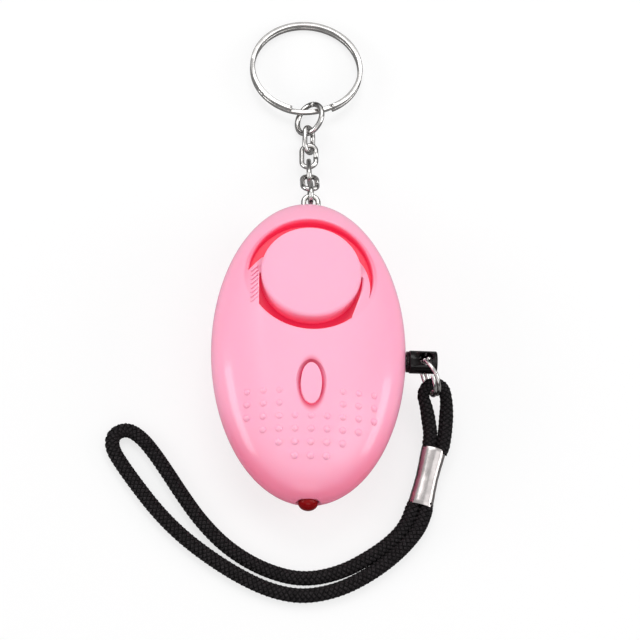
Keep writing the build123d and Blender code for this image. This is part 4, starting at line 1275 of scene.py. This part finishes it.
@dataclass
class Electronics:
    """What the covers hide: board, cells, contacts and siren."""

    finishes: ClassVar[dict[Finish, tuple[str, ...]]] = {
        Finish.BOARD: ("circuit_board",),
        Finish.EPOXY: ("alarm_chip", "transistor", "resistors", "light_switch"),
        Finish.CAN: ("capacitor",),
        Finish.FERRITE: ("boost_coil",),
        Finish.CELL: ("button_cells",),
        Finish.SPRING: ("low_contact", "top_contact", "fixed_leaf", "moving_leaf"),
        Finish.SLEEVE: ("siren_wires",),
        Finish.FOAM: ("siren_gasket",),
        Finish.BRASS: ("siren_plate",),
        Finish.CERAMIC: ("siren_ceramic",),
        Finish.PINK: ("siren_holder",),
        Finish.BLACK: ("switch_plunger",),
    }

    def build(self) -> None:
        """Dress the inner nodes."""
        for finish, nodes in self.finishes.items():
            for node in nodes:
                plain(node, finish)


# Studio


@dataclass
class Softbox:
    """One area lamp that looks at the alarm."""

    name: str
    place: Point
    target: Point
    size: tuple[float, float]
    power: float

    def build(self) -> None:
        """Hang the lamp."""
        data = bpy.data.lights.new(self.name, "AREA")
        data.shape = "RECTANGLE"
        data.size, data.size_y = self.size
        data.energy = self.power
        lamp = hang(self.name, data)
        lamp.location = self.place
        look = Vector(self.target) - Vector(self.place)
        lamp.rotation_euler = look.to_track_quat("-Z", "Y").to_euler()


@dataclass
class Studio:
    """Pale floor, soft light and the camera."""

    floor_size: float = 3.0
    floor_lit: Color = (0.86, 0.86, 0.86)
    floor_in_gloss: Color = (0.3, 0.3, 0.3)
    floor_seen: Color = (0.25, 0.25, 0.25)
    floor_glow: Color = (0.72, 0.72, 0.72)
    floor_roughness: float = 0.9
    floor_gloss: float = 0.1
    room_light: float = 0.5
    room_seen: float = 0.96
    ceiling: Span = (0.12, 0.62)
    ceiling_light: float = 0.85
    wall_light: float = 0.07
    sensor: float = 36.0
    clip_start: float = 0.01
    lens: float = 125.55
    camera_place: Point = (-0.027220, -0.193136, 0.410988)
    camera_right: Point = (0.99731448, 0.0, 0.0732382)
    camera_up: Point = (-0.03256428, 0.89571176, 0.4434411)
    camera_back: Point = (-0.06560031, -0.44463518, 0.89330631)
    lamps: ClassVar[tuple[Softbox, ...]] = (
        Softbox("key", (-0.03, 0.32, 0.5), (0.0, 0.0, 0.0), (0.4, 0.3), 1.2),
        Softbox("fill", (0.3, -0.05, 0.45), (0.0, 0.0, 0.0), (0.3, 0.3), 0.4),
        Softbox("front", (0.0, -0.45, 0.25), (0.0, -0.02, 0.0), (0.3, 0.2), 0.25),
        Softbox("left_strip", (-0.5, -0.02, 0.2), (0.0, -0.02, 0.01), (0.36, 0.18), 0.95),
        Softbox("right_strip", (0.5, -0.01, 0.22), (0.0, -0.02, 0.01), (0.3, 0.18), 0.75),
    )

    def camera(self) -> None:
        """Set the camera where the photograph was taken."""
        data = bpy.data.cameras.new("camera")
        data.lens = self.lens
        data.sensor_width = self.sensor
        data.clip_start = self.clip_start
        camera = hang("camera", data)
        axes = Matrix((self.camera_right, self.camera_up, self.camera_back)).transposed().to_4x4()
        axes.translation = self.camera_place
        camera.matrix_world = axes
        bpy.context.scene.camera = camera

    def floor(self) -> None:
        """Lay the floor, which keeps the shadows."""
        bpy.ops.object.select_all(action="DESELECT")
        bpy.ops.mesh.primitive_plane_add(size=self.floor_size)
        floor = bpy.context.active_object
        floor.name = "floor"
        shader = Shader("floor_white")
        seen, glossy = shader.rays()
        unseen = shader.mix(glossy, self.floor_lit, self.floor_in_gloss)
        floor.data.materials.append(
            shader.surface(
                {
                    "Base Color": shader.mix(seen, unseen, self.floor_seen),
                    "Roughness": self.floor_roughness,
                    "Specular IOR Level": self.floor_gloss,
                    "Emission Color": shader.mix(seen, DARK, self.floor_glow),
                    "Emission Strength": 1.0,
                }
            )
        )

    def world(self) -> None:
        """Light the room evenly: white to the camera, a bright ceiling over dark walls in gloss."""
        room = RoomShader("room")
        seen, glossy = room.rays()
        place = room.node("ShaderNodeTexCoord", {}, {})
        _, _, up = room.split(Wire(room, place.outputs["Generated"]))
        ceiling = up.ramp(*self.ceiling) * self.ceiling_light + self.wall_light
        rest = (1 - seen) * (1 - glossy) * self.room_light
        values = {"Color": (1.0, 1.0, 1.0), "Strength": seen * self.room_seen + glossy * ceiling + rest}
        background = room.node("ShaderNodeBackground", {}, values)
        room.node("ShaderNodeOutputWorld", {}, {"Surface": Wire(room, background.outputs[0])})

    def build(self) -> None:
        """Set up the studio."""
        self.camera()
        self.floor()
        self.world()
        for lamp in self.lamps:
            lamp.build()
        bpy.context.scene.view_settings.view_transform = "Standard"


EYE_ROUTE: tuple[Point, ...] = (
    (24.31, -18.4, 3.25),
    (24.95, -15.8, 3.5),
    (24.55, -12.9, 4.1),
    (23.95, -9.9, 5.3),
    (22.95, -7.3, 6.35),
    (24.8, -5.15, 7.05),
    (27.4, -5.75, 6.4),
    (28.05, -8.6, 5.5),
    (27.95, -12.6, 4.3),
    (27.55, -16.4, 3.5),
    (26.93, -19.05, 3.25),
)

# The stretch of the wrist loop that lies on the table, across and along.
LYING_HEIGHT = 1.31
LYING: tuple[Span, ...] = (
    (6.9, -44.1), (-0.6, -45.8), (-8.1, -43.9), (-15.0, -39.8), (-20.3, -34.4),
    (-24.2, -28.9), (-27.6, -23.6), (-30.4, -19.5), (-32.9, -16.5), (-35.7, -14.8),
    (-38.4, -16.1), (-38.6, -19.0), (-36.4, -22.6), (-33.0, -27.3), (-29.1, -32.3),
    (-24.5, -37.0), (-18.9, -41.4), (-12.6, -45.4), (-6.4, -48.2), (-0.2, -49.2),
    (6.6, -47.6),
)

LOOP_ROUTE: tuple[Point, ...] = (
    (21.39, -29.3, 2.35),
    (20.55, -32.7, 1.95),
    (18.0, -36.4, 1.45),
    (13.4, -40.2, 1.32),
    *((x, y, LYING_HEIGHT) for x, y in LYING),
    (12.7, -44.2, 1.32),
    (17.9, -40.0, 1.36),
    (21.7, -35.7, 1.75),
    (23.35, -32.4, 2.1),
    (24.05, -29.6, 2.35),
)


def main() -> None:
    """Build the studio and every sub-assembly."""
    logging.basicConfig(level=logging.INFO)
    Studio().build()
    BraidedCord("cord_eye", EYE_ROUTE, length=30.6).build()
    BraidedCord("wrist_loop", LOOP_ROUTE, length=166.1).build()
    for assembly in (Ferrule(), Casing(), Lamp(), Chain(), PullPin(), Electronics()):
        assembly.build()


if __name__ == "__main__":
    main()
